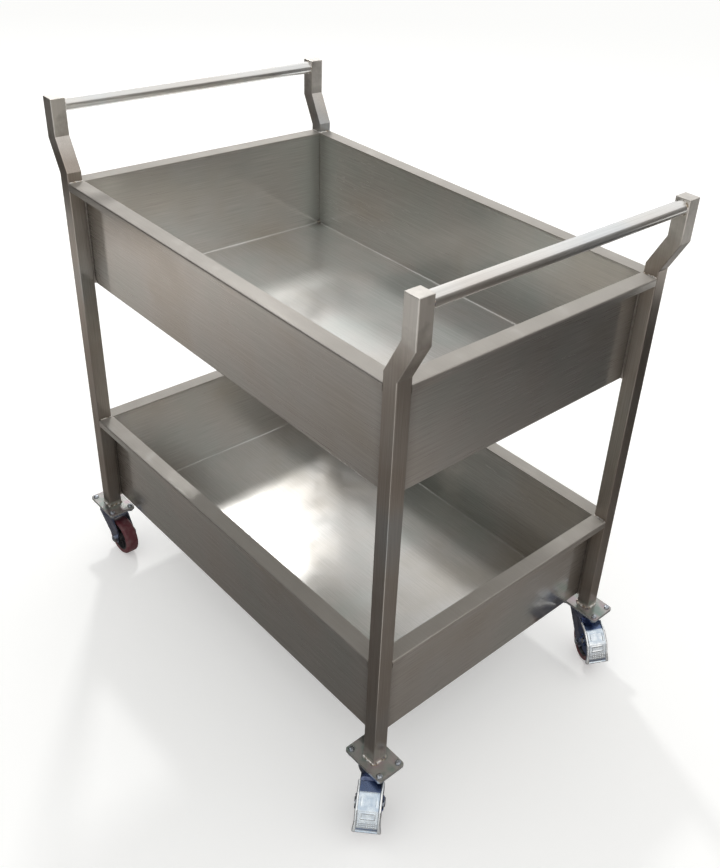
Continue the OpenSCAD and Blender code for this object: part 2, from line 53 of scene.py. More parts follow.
MM = 0.001
PICTURE = (720, 868)
FRAME_BODY = "trolley_frame"
LEG_X, LEG_Y = 403.3, 261.8  # the middle of each leg, in plan
SIGNS = ((1, -1), (1, 1), (-1, -1), (-1, 1))  # of x and y at the four corners
TRAIL, WHEEL_R = 32.0, 37.5  # how far a caster's axle trails its kingpin, and its wheel's radius
NOISE = {"From Min": 0.3, "From Max": 0.7}  # a noise texture seldom leaves this range
log = logging.getLogger("trolley")

Pair = tuple[float, float]
Point = tuple[float, float, float]
Tree, Node, Socket = bpy.types.NodeTree, bpy.types.Node, bpy.types.NodeSocket


# Numbers and colours


def linear(code: str) -> tuple[float, float, float, float]:
    """Turns an sRGB hex colour into linear light.

    Args:
        code: The colour as "#rrggbb".

    Returns:
        Red, green, blue and alpha, each from 0 to 1.
    """
    parts = np.array([int(code[i:i + 2], 16) for i in (1, 3, 5)]) / 255
    light = np.where(parts <= 0.04045, parts / 12.92, ((parts + 0.055) / 1.055) ** 2.4)
    return (*(float(x) for x in light), 1.0)


def smooth(x: np.ndarray, low: float, high: float) -> np.ndarray:
    """Climbs from 0 at low to 1 at high as 3t^2 - 2t^3; low may be above high."""
    t = np.clip((x - low) / (high - low), 0, 1)
    return t * t * (3 - 2 * t)


def wobble(s: np.ndarray, length: float, seed: int) -> np.ndarray:
    """Sums five sine waves of seeded phase, whose wavelengths run from length down to length / 5.

    Args:
        s: Distances along a path.
        length: The longest wavelength, in the same unit.
        seed: Fixes the phases.

    Returns:
        A smooth curve between about -1 and 1.
    """
    phases = np.random.default_rng(seed).uniform(0, 2 * np.pi, 5)
    waves = [np.sin(2 * np.pi * (k + 1) * s / length + phases[k]) / (k + 1) for k in range(5)]
    return np.sum(waves, axis=0) / 1.6


# Surfaces


@dataclass
class Shell:
    """A surface as vertices, in millimetres, and faces.

    Each array of faces holds faces with one number of corners.
    """

    points: np.ndarray
    faces: list[np.ndarray]

    def __add__(self, other: "Shell") -> "Shell":
        """Puts two shells side by side.

        Args:
            other: The shell that follows.

        Returns:
            One shell of both.
        """
        shift = len(self.points)
        return Shell(np.vstack([self.points, other.points]),
                     self.faces + [f + shift for f in other.faces])

    def moved(self, place: Matrix) -> "Shell":
        """Returns the shell carried by a 4x4 matrix whose offset is in millimetres."""
        m = np.array(place, float)
        return Shell(self.points @ m[:3, :3].T + m[:3, 3], self.faces)

    def flipped(self) -> "Shell":
        """Returns the shell with its faces turned over."""
        return Shell(self.points, [f[:, ::-1] for f in self.faces])


def grid(points: np.ndarray, round_u: bool = False, round_v: bool = False) -> Shell:
    """Joins a grid of points with four-cornered faces.

    Args:
        points: An array of shape (u, v, 3).
        round_u: Whether the last row joins the first.
        round_v: Whether the last column joins the first.

    Returns:
        The shell. Its faces point along u crossed with v.
    """
    nu, nv = points.shape[:2]
    number = np.arange(nu * nv).reshape(nu, nv)
    if round_u:
        number = np.vstack([number, number[:1]])
    if round_v:
        number = np.hstack([number, number[:, :1]])
    quads = np.stack([number[:-1, :-1], number[1:, :-1], number[1:, 1:], number[:-1, 1:]], -1)
    return Shell(points.reshape(-1, 3), [quads.reshape(-1, 4)])


def capped(points: np.ndarray) -> Shell:
    """Joins a stack of closed rings and closes both ends with fans.

    Args:
        points: An array of shape (rings, ring points, 3), each ring counter-clockwise about the
            direction in which the rings follow each other.

    Returns:
        A closed shell whose faces point outwards.
    """
    rings, count = points.shape[:2]
    side = grid(points, round_v=True).flipped()
    ring = np.arange(count)
    after = np.roll(ring, -1)
    first, last = rings * count, rings * count + 1
    top = (rings - 1) * count
    fans = np.vstack([
        np.stack([np.full(count, first), after, ring], -1),
        np.stack([np.full(count, last), top + ring, top + after], -1)])
    ends = np.vstack([points[0].mean(0), points[-1].mean(0)])
    return Shell(np.vstack([side.points, ends]), side.faces + [fans])


def joined(shells: list[Shell]) -> Shell:
    """Puts shells side by side in one."""
    return sum(shells[1:], shells[0])


def revolve(profile: np.ndarray, steps: int = 32) -> Shell:
    """Turns a half section about Z: (r cos a, r sin a, z) for each of its points (r, z).

    Args:
        profile: An array of shape (n, 2), from the bottom up.
        steps: How many places round the axis.

    Returns:
        A closed shell.
    """
    a = 2 * np.pi * np.arange(steps) / steps
    r, z = profile[:, :1], profile[:, 1:]
    return capped(np.stack([r * np.cos(a), r * np.sin(a), z + 0 * a], -1))


def carry(path: np.ndarray, radii: np.ndarray, sides: int = 8, closed: bool = False) -> Shell:
    """Carries a circle along a path.

    At each point the circle lies across the path's direction, turned so that its first corner
    stays towards the axis that the path leans to least.

    Args:
        path: The centre line, an array of shape (n, 3).
        radii: The circle's radius at each point.
        sides: Corners of the circle.
        closed: Whether the path's end joins its start.

    Returns:
        A closed shell.
    """
    ahead = np.roll(path, -1, 0) - np.roll(path, 1, 0) if closed else np.gradient(path, axis=0)
    ahead /= np.linalg.norm(ahead, axis=1, keepdims=True)
    steady = np.eye(3)[np.argmin(np.abs(ahead).max(0))]
    across = np.cross(ahead, steady)
    across /= np.linalg.norm(across, axis=1, keepdims=True)
    lift = np.cross(ahead, across)
    a = (2 * np.pi * np.arange(sides) / sides)[None, :, None]
    ring = np.cos(a) * across[:, None] + np.sin(a) * lift[:, None]
    points = path[:, None] + radii[:, None, None] * ring
    if closed:
        return grid(points, round_u=True, round_v=True).flipped()
    return capped(points)


def place_in_scene(name: str, data: bpy.types.ID) -> bpy.types.Object:
    """Makes an object and links it to the scene.

    Args:
        name: The object's name.
        data: The mesh, lamp or camera that it shows.

    Returns:
        The object, at the origin.
    """
    made = bpy.data.objects.new(name, data)
    bpy.context.scene.collection.objects.link(made)
    return made


def mark(mesh: bpy.types.Mesh, marks: dict[str, np.ndarray]) -> None:
    """Stores numbers on a mesh's vertices, for the shaders to read.

    Args:
        mesh: The mesh.
        marks: A number for each vertex, under the name that a shader reads.
    """
    for title, values in marks.items():
        made = mesh.attributes.new(title, "FLOAT", "POINT")
        made.data.foreach_set("value", values.astype(np.float32).ravel())


def add_piece(name: str, shell: Shell, finish: "Finish", body: str, stands_for: tuple[str, ...] = (),
              sharp: float = 40.0) -> bpy.types.Object:
    """Makes a piece of a shell, dresses it and lets it ride.

    Args:
        name: The piece's name.
        shell: Its surface, in millimetres.
        finish: What it is dressed in.
        body: The body that it rides on.
        stands_for: The nodes that it hides.
        sharp: Edges that bend by more degrees than this stay sharp.

    Returns:
        The piece, with its place in its mesh.
    """
    mesh = bpy.data.meshes.new(name)
    corners = np.concatenate([f.ravel() for f in shell.faces])
    sizes = np.concatenate([np.full(len(f), f.shape[1]) for f in shell.faces])
    mesh.vertices.add(len(shell.points))
    mesh.vertices.foreach_set("co", (shell.points * MM).astype(np.float32).ravel())
    mesh.loops.add(len(corners))
    mesh.loops.foreach_set("vertex_index", corners.astype(np.int32))
    mesh.polygons.add(len(sizes))
    mesh.polygons.foreach_set("loop_start", (np.cumsum(sizes) - sizes).astype(np.int32))
    mesh.update(calc_edges=True)
    mesh.shade_smooth()
    mesh.set_sharp_from_angle(angle=math.radians(sharp))
    mesh.materials.append(finish.material())
    piece = place_in_scene(name, mesh)
    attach(piece, body)
    if stands_for:
        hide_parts(*stands_for)
    log.info("%s: %d faces on %s", name, len(sizes), body)
    return piece


def dress(node: str, finish: "Finish") -> None:
    """Gives a node of the frame its finish.

    Args:
        node: The node's name.
        finish: What it is dressed in.
    """
    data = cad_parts[node].data
    data.materials.clear()
    data.materials.append(finish.material())
    log.info("%s: %s", node, finish.name)


# Finishes


def blank(owner: bpy.types.Material | bpy.types.World) -> Tree:
    """Switches on and empties a node tree.

    Args:
        owner: The material or world that has the tree.

    Returns:
        The tree.
    """
    owner.use_nodes = True
    owner.node_tree.nodes.clear()
    return owner.node_tree


def add(tree: Tree, kind: str, inputs: dict | None = None, **settings: object) -> Node:
    """Adds a shader node with its settings and links.

    Args:
        tree: The node tree.
        kind: The node's type, without the ShaderNode that each begins with.
        inputs: A value, an output socket or a node for each input, by its name or number. A node
            stands for its first output.
        settings: The node's own properties.

    Returns:
        The node.
    """
    made = tree.nodes.new("ShaderNode" + kind)
    for key, value in settings.items():
        setattr(made, key, value)
    for key, value in (inputs or {}).items():
        if isinstance(value, Node):
            value = value.outputs[0]
        if isinstance(value, Socket):
            tree.links.new(value, made.inputs[key])
        else:
            made.inputs[key].default_value = value
    return made


class Grain(Enum):
    """The direction in which a surface was brushed or drawn."""

    LENGTH = (1, 0, 0)
    WIDTH = (0, 1, 0)
    UPRIGHT = (0, 0, 1)
    FOLDED = (0, 0, 0)  # along each wall of a folded tub, level with the floor


@dataclass(frozen=True)
class Finish:
    """What every finish has: a name for the real material and a slot name."""

    name: str
    slot: str

    def material(self) -> bpy.types.Material:
        """Finds the finish's material, or makes it the first time that it is asked for.

        Returns:
            The material.
        """
        found = bpy.data.materials.get(self.name)
        if found is None:
            found = bpy.data.materials.new(self.name)
            tree = blank(found)
            add(tree, "OutputMaterial", {"Surface": self.shade(tree)})
        return found

    def shade(self, tree: Tree) -> Node:
        """Builds the surface shader.

        Args:
            tree: The material's node tree.

        Returns:
            The shader's node.
        """
        raise NotImplementedError


@dataclass(frozen=True)
class BrushedSteel(Finish):
    """Stainless steel, rolled flat or drawn, and then brushed by hand.

    The crests between the scratches still mirror and the scratches scatter, so the gloss is a
    sharp lobe and a hazy one, both drawn out across the brushing. Of each pair of values the first
    is for upright faces and the second for level ones. Handling leaves faint clouds and wiped
    patches, and grinding at the welds leaves its own tone and more haze. That tone also carries
    painted light: a painted shade that darkens tray rims under the lamp's highlight, and a painted
    highlight on the edges of the foot plates. Beside the tubs' corners a painted dark reflection of
    the legs darkens the colour.
    """

    colour: str
    warm: str
    cool: str
    crest: Pair
    scratch: Pair
    haze: Pair = (0.35, 0.35)
    drawn: float = 0.3
    grain: Grain = Grain.FOLDED
    # a brush's lines are a tenth of a millimetre apart; drawn coarser so that they show
    line_mm: float = 1.1
    line_depth: float = 0.045
    line_stretch: float = 70.0
    scratch_mm: float = 0.02
    scratch_bump: float = 0.12
    cloud_mm: float = 170.0
    cloud_tones: Pair = (0.34, 0.66)
    level_from: Pair = (0.6, 0.95)  # a face turns from upright to level between these slants
    wiped_mm: float = 34.0
    smear: Pair = (-0.02, 0.03)
    fleck: float = 0.04
    wave_mm: float = 260.0
    wave_depth_mm: float = 0.5
    # tone near the heights below: of grinding, and also painted light, a painted shade on tray rims
    # and a painted highlight on plate edges
    grind_and_painted_light: str = ""
    grind_and_painted_light_heights: tuple[Pair, ...] = ()
    ground_haze: float = 0.45
    grind_and_painted_light_gain: float = 2.6
    # painted shade: the dark grey beside the tubs' corners, a painted dark reflection of the legs
    tint: str = "#6c6761"
    painted_darkening_corner: Point = (0.0, 0.0, 0.0)
    painted_darkening_share: Pair = (0.3, 0.65)

    def lines(self, tree: Tree, place: Socket, along: tuple[int, int, int]) -> Node:
        """Noise drawn out along one axis, as the lines of a brush.

        Args:
            tree: The node tree.
            place: Object coordinates.
            along: 1 for the axis that the lines follow.

        Returns:
            The noise, from 0 to 1.
        """
        fine = 1 / (self.line_mm * MM)
        scale = tuple(fine / self.line_stretch if a else fine for a in along)
        drawn = add(tree, "Mapping", {"Vector": place, "Scale": scale})
        return add(tree, "TexNoise", {"Vector": drawn, "Scale": 1.0, "Detail": 2.0})

    def across(self, tree: Tree, facing: Socket, level: Node) -> Socket:
        """The direction across the brushing, which the gloss is drawn out along.

        Args:
            tree: The node tree.
            facing: The surface's normal.
            level: 1 on level faces and 0 on upright ones.

        Returns:
            The direction, leant off by a hundredth so that it is never nought.
        """
        if self.grain is Grain.FOLDED:
            return add(tree, "Mix", {0: level, 4: (0.01, 0.01, 1), 5: (0.01, 1, 0.01)},
                       data_type="VECTOR").outputs[1]
        turned = add(tree, "VectorMath", {0: facing, 1: self.grain.value},
                     operation="CROSS_PRODUCT")
        return add(tree, "VectorMath", {0: turned, 1: (0.01, 0.007, 0.009)},
                   operation="ADD").outputs[0]

    def grind_and_painted_light_mask(self, tree: Tree, place: Socket, wiped: Node) -> Node | None:
        """Where the steel was dressed by grinding after welding, from 0 to 1.

        On some finishes the tone there is painted light as well. It is
        grind_and_painted_light_gain (1 - distance / reach) times the wiped noise, for the distance
        from the nearest of grind_and_painted_light_heights.

        Args:
            tree: The node tree.
            place: Object coordinates.
            wiped: Noise that breaks up the edge.

        Returns:
            The mask, or None where no heights are listed.
        """
        total = None
        split = add(tree, "SeparateXYZ", {0: place})
        for height, reach in self.grind_and_painted_light_heights:
            away = add(tree, "Math", {0: split.outputs["Z"], 1: height * MM}, operation="SUBTRACT")
            far = add(tree, "Math", {0: away}, operation="ABSOLUTE")
            near = add(tree, "MapRange", {"Value": far, "From Min": reach * MM, "From Max": 0.0})
            total = near if total is None else add(tree, "Math", {0: total, 1: near},
                                                   operation="MAXIMUM")
        if total is None:
            return None
        rough = add(tree, "Math", {0: total, 1: wiped}, operation="MULTIPLY")
        return add(tree, "Math", {0: rough, 1: self.grind_and_painted_light_gain}, operation="MULTIPLY",
                   use_clamp=True)

    def painted_corner_darkening(self, tree: Tree, place: Socket, facing: Socket, colour: Node) -> Socket:
        """Darkens a colour beside the four upright corners with painted shade.

        It stands for a painted dark reflection of each leg on the outer walls and painted shade in
        the inner corners. Its share is most (1 - distance / reach), smoothed, for the distance in
        plan from the lines at plus or minus the x and y of painted_darkening_corner. Most is the
        second of painted_darkening_share on faces that look outwards and the first on those that
        look inwards.

        Args:
            tree: The node tree.
            place: Object coordinates.
            facing: The surface's normal.
            colour: The colour of the bare steel.

        Returns:
            The colour with the painted shade.
        """
        x, y, reach = self.painted_darkening_corner
        fold = add(tree, "VectorMath", {0: place}, operation="ABSOLUTE")
        away = add(tree, "VectorMath", {0: fold, 1: (x * MM, y * MM, 0)}, operation="SUBTRACT")
        flat = add(tree, "VectorMath", {0: away, 1: (1, 1, 0)}, operation="MULTIPLY")
        far = add(tree, "VectorMath", {0: flat}, operation="LENGTH")
        side = add(tree, "VectorMath", {0: place, 1: facing}, operation="DOT_PRODUCT")
        most = add(tree, "MapRange", {
            "Value": side.outputs["Value"], "From Min": -0.01, "From Max": 0.01,
            "To Min": self.painted_darkening_share[0], "To Max": self.painted_darkening_share[1]})
        share = add(tree, "MapRange", {
            "Value": far.outputs["Value"], "From Min": reach * MM, "From Max": 0.0,
            "To Max": most}, interpolation_type="SMOOTHSTEP")
        return add(tree, "Mix", {0: share, 6: colour, 7: linear(self.tint)},
                   data_type="RGBA").outputs[2]

    def shade(self, tree: Tree) -> Node:
        """Builds the surface shader.

        Args:
            tree: The material's node tree.

        Returns:
            The shader's node.
        """
        where = add(tree, "TexCoord")
        place, facing = where.outputs["Object"], where.outputs["Normal"]
        side = add(tree, "VectorMath", {0: facing}, operation="ABSOLUTE")
        turned = add(tree, "SeparateXYZ", {0: side})
        if self.grain is Grain.FOLDED:
            lines = add(tree, "Mix", {
                0: turned.outputs["X"], 2: self.lines(tree, place, (1, 0, 0)),
                3: self.lines(tree, place, (0, 1, 0))})
        else:
            lines = self.lines(tree, place, self.grain.value)
        clouds, wiped, buckle = (
            add(tree, "TexNoise", {"Vector": place, "Scale": 1 / (size * MM), "Detail": detail})
            for size, detail in ((self.cloud_mm, 3.0), (self.wiped_mm, 3.0), (self.wave_mm, 0.0)))
        cast = add(tree, "ValToRGB", {"Fac": clouds})
        ramp = cast.color_ramp
        for k, tone in enumerate((self.warm, self.cool)):
            ramp.elements[k].position, ramp.elements[k].color = self.cloud_tones[k], linear(tone)
        ramp.elements.new(0.5).color = linear(self.colour)
        shadow = add(tree, "MapRange", {
            "Value": lines, "To Min": 1 - self.line_depth, "To Max": 1 + self.line_depth})
        colour = add(tree, "VectorMath", {0: cast, 1: shadow}, operation="MULTIPLY")
        if self.painted_darkening_corner[2]:
            colour = self.painted_corner_darkening(tree, place, facing, colour)
        level = add(tree, "MapRange", {
            "Value": turned.outputs["Z"], "From Min": self.level_from[0],
            "From Max": self.level_from[1]})
        share = add(tree, "MapRange", {
            "Value": level, "To Min": self.haze[0], "To Max": self.haze[1]})
        grind_and_painted_light = self.grind_and_painted_light_mask(tree, place, wiped)
        if grind_and_painted_light is not None:
            share = add(tree, "Math", {0: grind_and_painted_light, 1: self.ground_haze, 2: share},
                        operation="MULTIPLY_ADD")
            colour = add(tree, "Mix", {0: grind_and_painted_light, 6: colour, 7: linear(self.grind_and_painted_light)},
                         data_type="RGBA").outputs[2]
        flecks = add(tree, "MapRange", {
            "Value": lines, **NOISE, "To Min": -self.fleck, "To Max": self.fleck})
        haze = add(tree, "Math", {0: share, 1: flecks}, operation="ADD", use_clamp=True)
        waves = add(tree, "Bump", {
            "Height": buckle, "Strength": 1.0, "Distance": self.wave_depth_mm * MM})
        brush = add(tree, "Bump", {
            "Height": lines, "Strength": self.scratch_bump, "Distance": self.scratch_mm * MM,
            "Normal": waves})
        across = self.across(tree, facing, level)
        smear = add(tree, "MapRange", {
            "Value": wiped, **NOISE, "To Min": self.smear[0], "To Max": self.smear[1]})
        lobes = []
        for upright, flat in (self.crest, self.scratch):
            middle = add(tree, "MapRange", {"Value": level, "To Min": upright, "To Max": flat})
            rough = add(tree, "Math", {0: middle, 1: smear}, operation="ADD")
            lobes.append(add(tree, "BsdfPrincipled", {
                "Base Color": colour, "Metallic": 1.0, "Roughness": rough,
                "Anisotropic": self.drawn, "Tangent": across, "Normal": brush}))
        return add(tree, "MixShader", {0: haze, 1: lobes[0], 2: lobes[1]})


@dataclass(frozen=True)
class Plated(Finish):
    """Steel under bright zinc, passivated: bluish, faintly crystalline, with duller patches.

    The colour turns a deep blue, painted shade, in folds, skirts and the foot plate's shadow,
    where a piece's mesh attribute "painted_shade_blue" says so from 0 to 1, and raised places
    turn near white, partly wear and partly painted highlight, where
    "wear_and_painted_highlight" does.
    """

    colour: str = "#dbe5ec"
    dull: str = "#bccad8"
    # painted shade: the deep blue of folds, skirts and the foot plate's shadow
    deep: str = "#465a86"
    # near white of wear on raised places, partly a painted highlight
    wear_and_highlight_white: str = "#f4f7f8"
    roughness: float = 0.24
    rough_spread: Pair = (0.1, -0.04)
    patch_mm: float = 9.0
    patch_tones: Pair = (0.35, 0.65)
    # zinc's crystals are well under a millimetre; drawn coarser so that they show
    crystal_mm: float = 2.0
    crystal_depth_mm: float = 0.05
    crystal_bump: float = 0.18

    def shade(self, tree: Tree) -> Node:
        """Builds the surface shader.

        Args:
            tree: The material's node tree.

        Returns:
            The shader's node.
        """
        place = add(tree, "TexCoord").outputs["Object"]
        patches = add(tree, "TexNoise", {
            "Vector": place, "Scale": 1 / (self.patch_mm * MM), "Detail": 4.0})
        crystals = add(tree, "TexVoronoi", {
            "Vector": place, "Scale": 1 / (self.crystal_mm * MM)})
        tone = add(tree, "MapRange", {
            "Value": patches, "From Min": self.patch_tones[0], "From Max": self.patch_tones[1]})
        colour = add(tree, "Mix", {
            0: tone, 6: linear(self.dull), 7: linear(self.colour)}, data_type="RGBA")
        # deep blue of painted shade, then near white of wear and painted highlight
        for title, tint in (("painted_shade_blue", self.deep), ("wear_and_painted_highlight", self.wear_and_highlight_white)):
            where = add(tree, "Attribute", attribute_name=title)
            colour = add(tree, "Mix", {
                0: where.outputs["Fac"], 6: colour.outputs[2], 7: linear(tint)}, data_type="RGBA")
        rough = add(tree, "MapRange", {
            "Value": patches, **NOISE, "To Min": self.roughness + self.rough_spread[0],
            "To Max": self.roughness + self.rough_spread[1]})
        bump = add(tree, "Bump", {
            "Height": crystals, "Strength": self.crystal_bump,
            "Distance": self.crystal_depth_mm * MM})
        return add(tree, "BsdfPrincipled", {
            "Base Color": colour.outputs[2], "Metallic": 1.0, "Roughness": rough,
            "Normal": bump})


@dataclass(frozen=True)
class Weld(Finish):
    """Stainless weld metal, brushed after welding, with straw to grey heat tint left in it."""

    bright: str = "#dcdad7"
    straw: str = "#9a8b74"
    dark: str = "#66656c"
    heat_mm: float = 7.0
    heat_tones: Point = (0.34, 0.42, 0.54)
    roughness: float = 0.33
    grit_mm: float = 0.9
    grit_depth_mm: float = 0.15
    grit_bump: float = 0.5

    def shade(self, tree: Tree) -> Node:
        """Builds the surface shader.

        Args:
            tree: The material's node tree.

        Returns:
            The shader's node.
        """
        place = add(tree, "TexCoord").outputs["Object"]
        heat = add(tree, "TexNoise", {
            "Vector": place, "Scale": 1 / (self.heat_mm * MM), "Detail": 3.0})
        tint = add(tree, "ValToRGB", {"Fac": heat})
        ramp = tint.color_ramp
        low, middle, high = self.heat_tones
        ramp.elements[0].position, ramp.elements[0].color = low, linear(self.dark)
        ramp.elements[1].position, ramp.elements[1].color = high, linear(self.bright)
        ramp.elements.new(middle).color = linear(self.straw)
        grit = add(tree, "TexNoise", {
            "Vector": place, "Scale": 1 / (self.grit_mm * MM), "Detail": 2.0})
        bump = add(tree, "Bump", {
            "Height": grit, "Strength": self.grit_bump, "Distance": self.grit_depth_mm * MM})
        return add(tree, "BsdfPrincipled", {
            "Base Color": tint, "Metallic": 1.0, "Roughness": self.roughness, "Normal": bump})


@dataclass(frozen=True)
class Moulded(Finish):
    """Moulded plastic or rubber: an even body colour, a fine grain and scuffed dust."""

    colour: str = "#5f2a31"
    dust: str = "#857672"
    roughness: float = 0.45
    rough_spread: Pair = (-0.05, 0.15)
    scuff_mm: float = 12.0
    scuff_tones: Pair = (0.45, 0.75)
    # a mould's grain is finer than this; drawn coarser so that it shows
    grain_mm: float = 0.8
    grain_depth_mm: float = 0.08
    grain_bump: float = 0.3
    dust_share: float = 0.3

    def shade(self, tree: Tree) -> Node:
        """Builds the surface shader.

        Args:
            tree: The material's node tree.

        Returns:
            The shader's node.
        """
        place = add(tree, "TexCoord").outputs["Object"]
        scuffs = add(tree, "TexNoise", {
            "Vector": place, "Scale": 1 / (self.scuff_mm * MM), "Detail": 5.0, "Roughness": 0.65})
        share = add(tree, "MapRange", {
            "Value": scuffs, "From Min": self.scuff_tones[0], "From Max": self.scuff_tones[1],
            "To Max": self.dust_share})
        colour = add(tree, "Mix", {
            0: share, 6: linear(self.colour), 7: linear(self.dust)}, data_type="RGBA")
        rough = add(tree, "MapRange", {
            "Value": scuffs, **NOISE, "To Min": self.roughness + self.rough_spread[0],
            "To Max": self.roughness + self.rough_spread[1]})
        grain = add(tree, "TexNoise", {
            "Vector": place, "Scale": 1 / (self.grain_mm * MM), "Detail": 2.0})
        bump = add(tree, "Bump", {
            "Height": grain, "Strength": self.grain_bump, "Distance": self.grain_depth_mm * MM})
        return add(tree, "BsdfPrincipled", {
            "Base Color": colour.outputs[2], "Roughness": rough, "Normal": bump})


# Tray sheet: bends and wide flat walls mirror the room in soft bands that fade along the brushing,
# the floors mirror it more sharply, and the rims are duller where their welds were dressed by
# grinding and darker by a painted shade that tones down the lamp's highlight there. Beside each
# corner the walls darken with a painted dark reflection of the leg.
SHEET = BrushedSteel("brushed_stainless_sheet", "tray_steel", colour="#d1cfcb",
                     warm="#cdc9c2", cool="#ccceca", crest=(0.13, 0.17), scratch=(0.5, 0.8),
                     haze=(0.3, 0.5), grind_and_painted_light="#b6b2ac", grind_and_painted_light_heights=((311, 5), (779, 5)),
                     painted_darkening_corner=(389.5, 248.0, 42.0))
# Leg tube: darker and warmer than the sheet, with long upright streaks and light ends.
TUBE = BrushedSteel("brushed_stainless_tube", "leg_steel", colour="#aca69f", warm="#a39a91",
                    cool="#aaabaa", crest=(0.18, 0.2), scratch=(0.45, 0.6), grain=Grain.UPRIGHT,
                    wave_depth_mm=0.2, grind_and_painted_light="#cfcbc5", grind_and_painted_light_heights=((104, 9), (885, 75)))
# Handle tube: a bright line along its top, broken into fine lengthwise strokes. A polisher's
# strokes are finer than this; drawn at 2.2 mm so that they show.
POLISHED = BrushedSteel("polished_stainless_tube", "handle_steel", colour="#e4e2de",
                        warm="#dfdad4", cool="#dfe1e1", crest=(0.1, 0.1), scratch=(0.35, 0.35),
                        haze=(0.5, 0.5), grain=Grain.WIDTH, line_mm=2.2, line_depth=0.12,
                        wave_depth_mm=0.1)
# Foot plate: dull cut plate with small pink and green stains from the weld's heat, and edges
# painted bright as a highlight.
PLATE = BrushedSteel("cut_stainless_plate", "foot_plate_steel", colour="#a5a3a0",
                     warm="#a6989b", cool="#86958e", crest=(0.2, 0.2), scratch=(0.5, 0.6),
                     grain=Grain.LENGTH, cloud_mm=22.0, wave_depth_mm=0.05,
                     grind_and_painted_light="#e0dedb", grind_and_painted_light_heights=((101.2, 1.9),))
# Caster plates and pedals: pale blue metal; the pedals are painted near white on raised places,
# partly wear and partly highlight, and painted deep blue as shade in the folds and skirts.
PRESSING = Plated("zinc_plated_pressing", "zinc_pressing")
# Forks: the same plating painted a dark slate blue with cloudy patches, a painted shade for the
# dark surroundings that they mirror.
FORK = Plated("zinc_fork_painted_shade", "zinc_pressing", colour="#868ea6", dull="#545d78",
              patch_mm=14.0)
# Bolts, nuts, kingpins and rivets: small grey highlights that stand out from the plates.
FASTENER = Plated("zinc_plated_fastener", "zinc_fastener", colour="#b9bfc6", dull="#878b91",
                  patch_mm=4.0)
# Balls and bushes: neutral and glossy, as ground and polished steel is.
BEARING = Plated("polished_bearing_steel", "bearing_steel", colour="#cfcfcf", dull="#b5b5b5",
                 roughness=0.14)
# Weld beads: bright ripples with straw and grey between them.
WELD = Weld("stainless_weld_metal", "leg_steel")
# Webs between tubs and legs and thin beads in the tubs' corners: dark lines, a painted shade of the
# narrow gaps and creases there.
GAP_PAINTED_SHADE = Weld("gap_painted_shade_weld", "leg_steel", bright="#77726c", straw="#6f6a64", dark="#68645f")
# Tyres: a deep wine red with a soft sheen, greyed by floor dust.
TYRE = Moulded("maroon_polyurethane", "wheel_tyre", dust_share=0.45)
# Wheel cores: near black, with ribs that catch a dull light.
CORE = Moulded("black_nylon", "wheel_core", colour="#2a2a2c", dust="#55524f", roughness=0.5)
# Brake shoes: matt black.
RUBBER = Moulded("black_brake_rubber", "brake_rubber", colour="#191919", dust="#3c3a38",
                 roughness=0.7)


# The trolley


class Side(Enum):
    """An end or a long side of the trolley, as a sign."""

    PLUS = 1
    MINUS = -1


@dataclass(frozen=True)
class Corner:
    """One corner of the trolley and the caster that stands there."""

    name: str
    x: Side
    y: Side
    yaw: float
    braked: bool

    def place(self) -> Matrix:
        """Returns the matrix that carries a caster's own frame to this corner."""
        spot = Vector((self.x.value * LEG_X, self.y.value * LEG_Y, 0))
        return Matrix.Translation(spot) @ Matrix.Rotation(math.radians(self.yaw), 4, "Z")


CORNERS = (
    Corner("front_right", Side.PLUS, Side.MINUS, -48.0, True),
    Corner("back_right", Side.PLUS, Side.PLUS, -29.0, True),
    Corner("front_left", Side.MINUS, Side.MINUS, 0.0, False),
    Corner("back_left", Side.MINUS, Side.PLUS, 24.0, False),
)


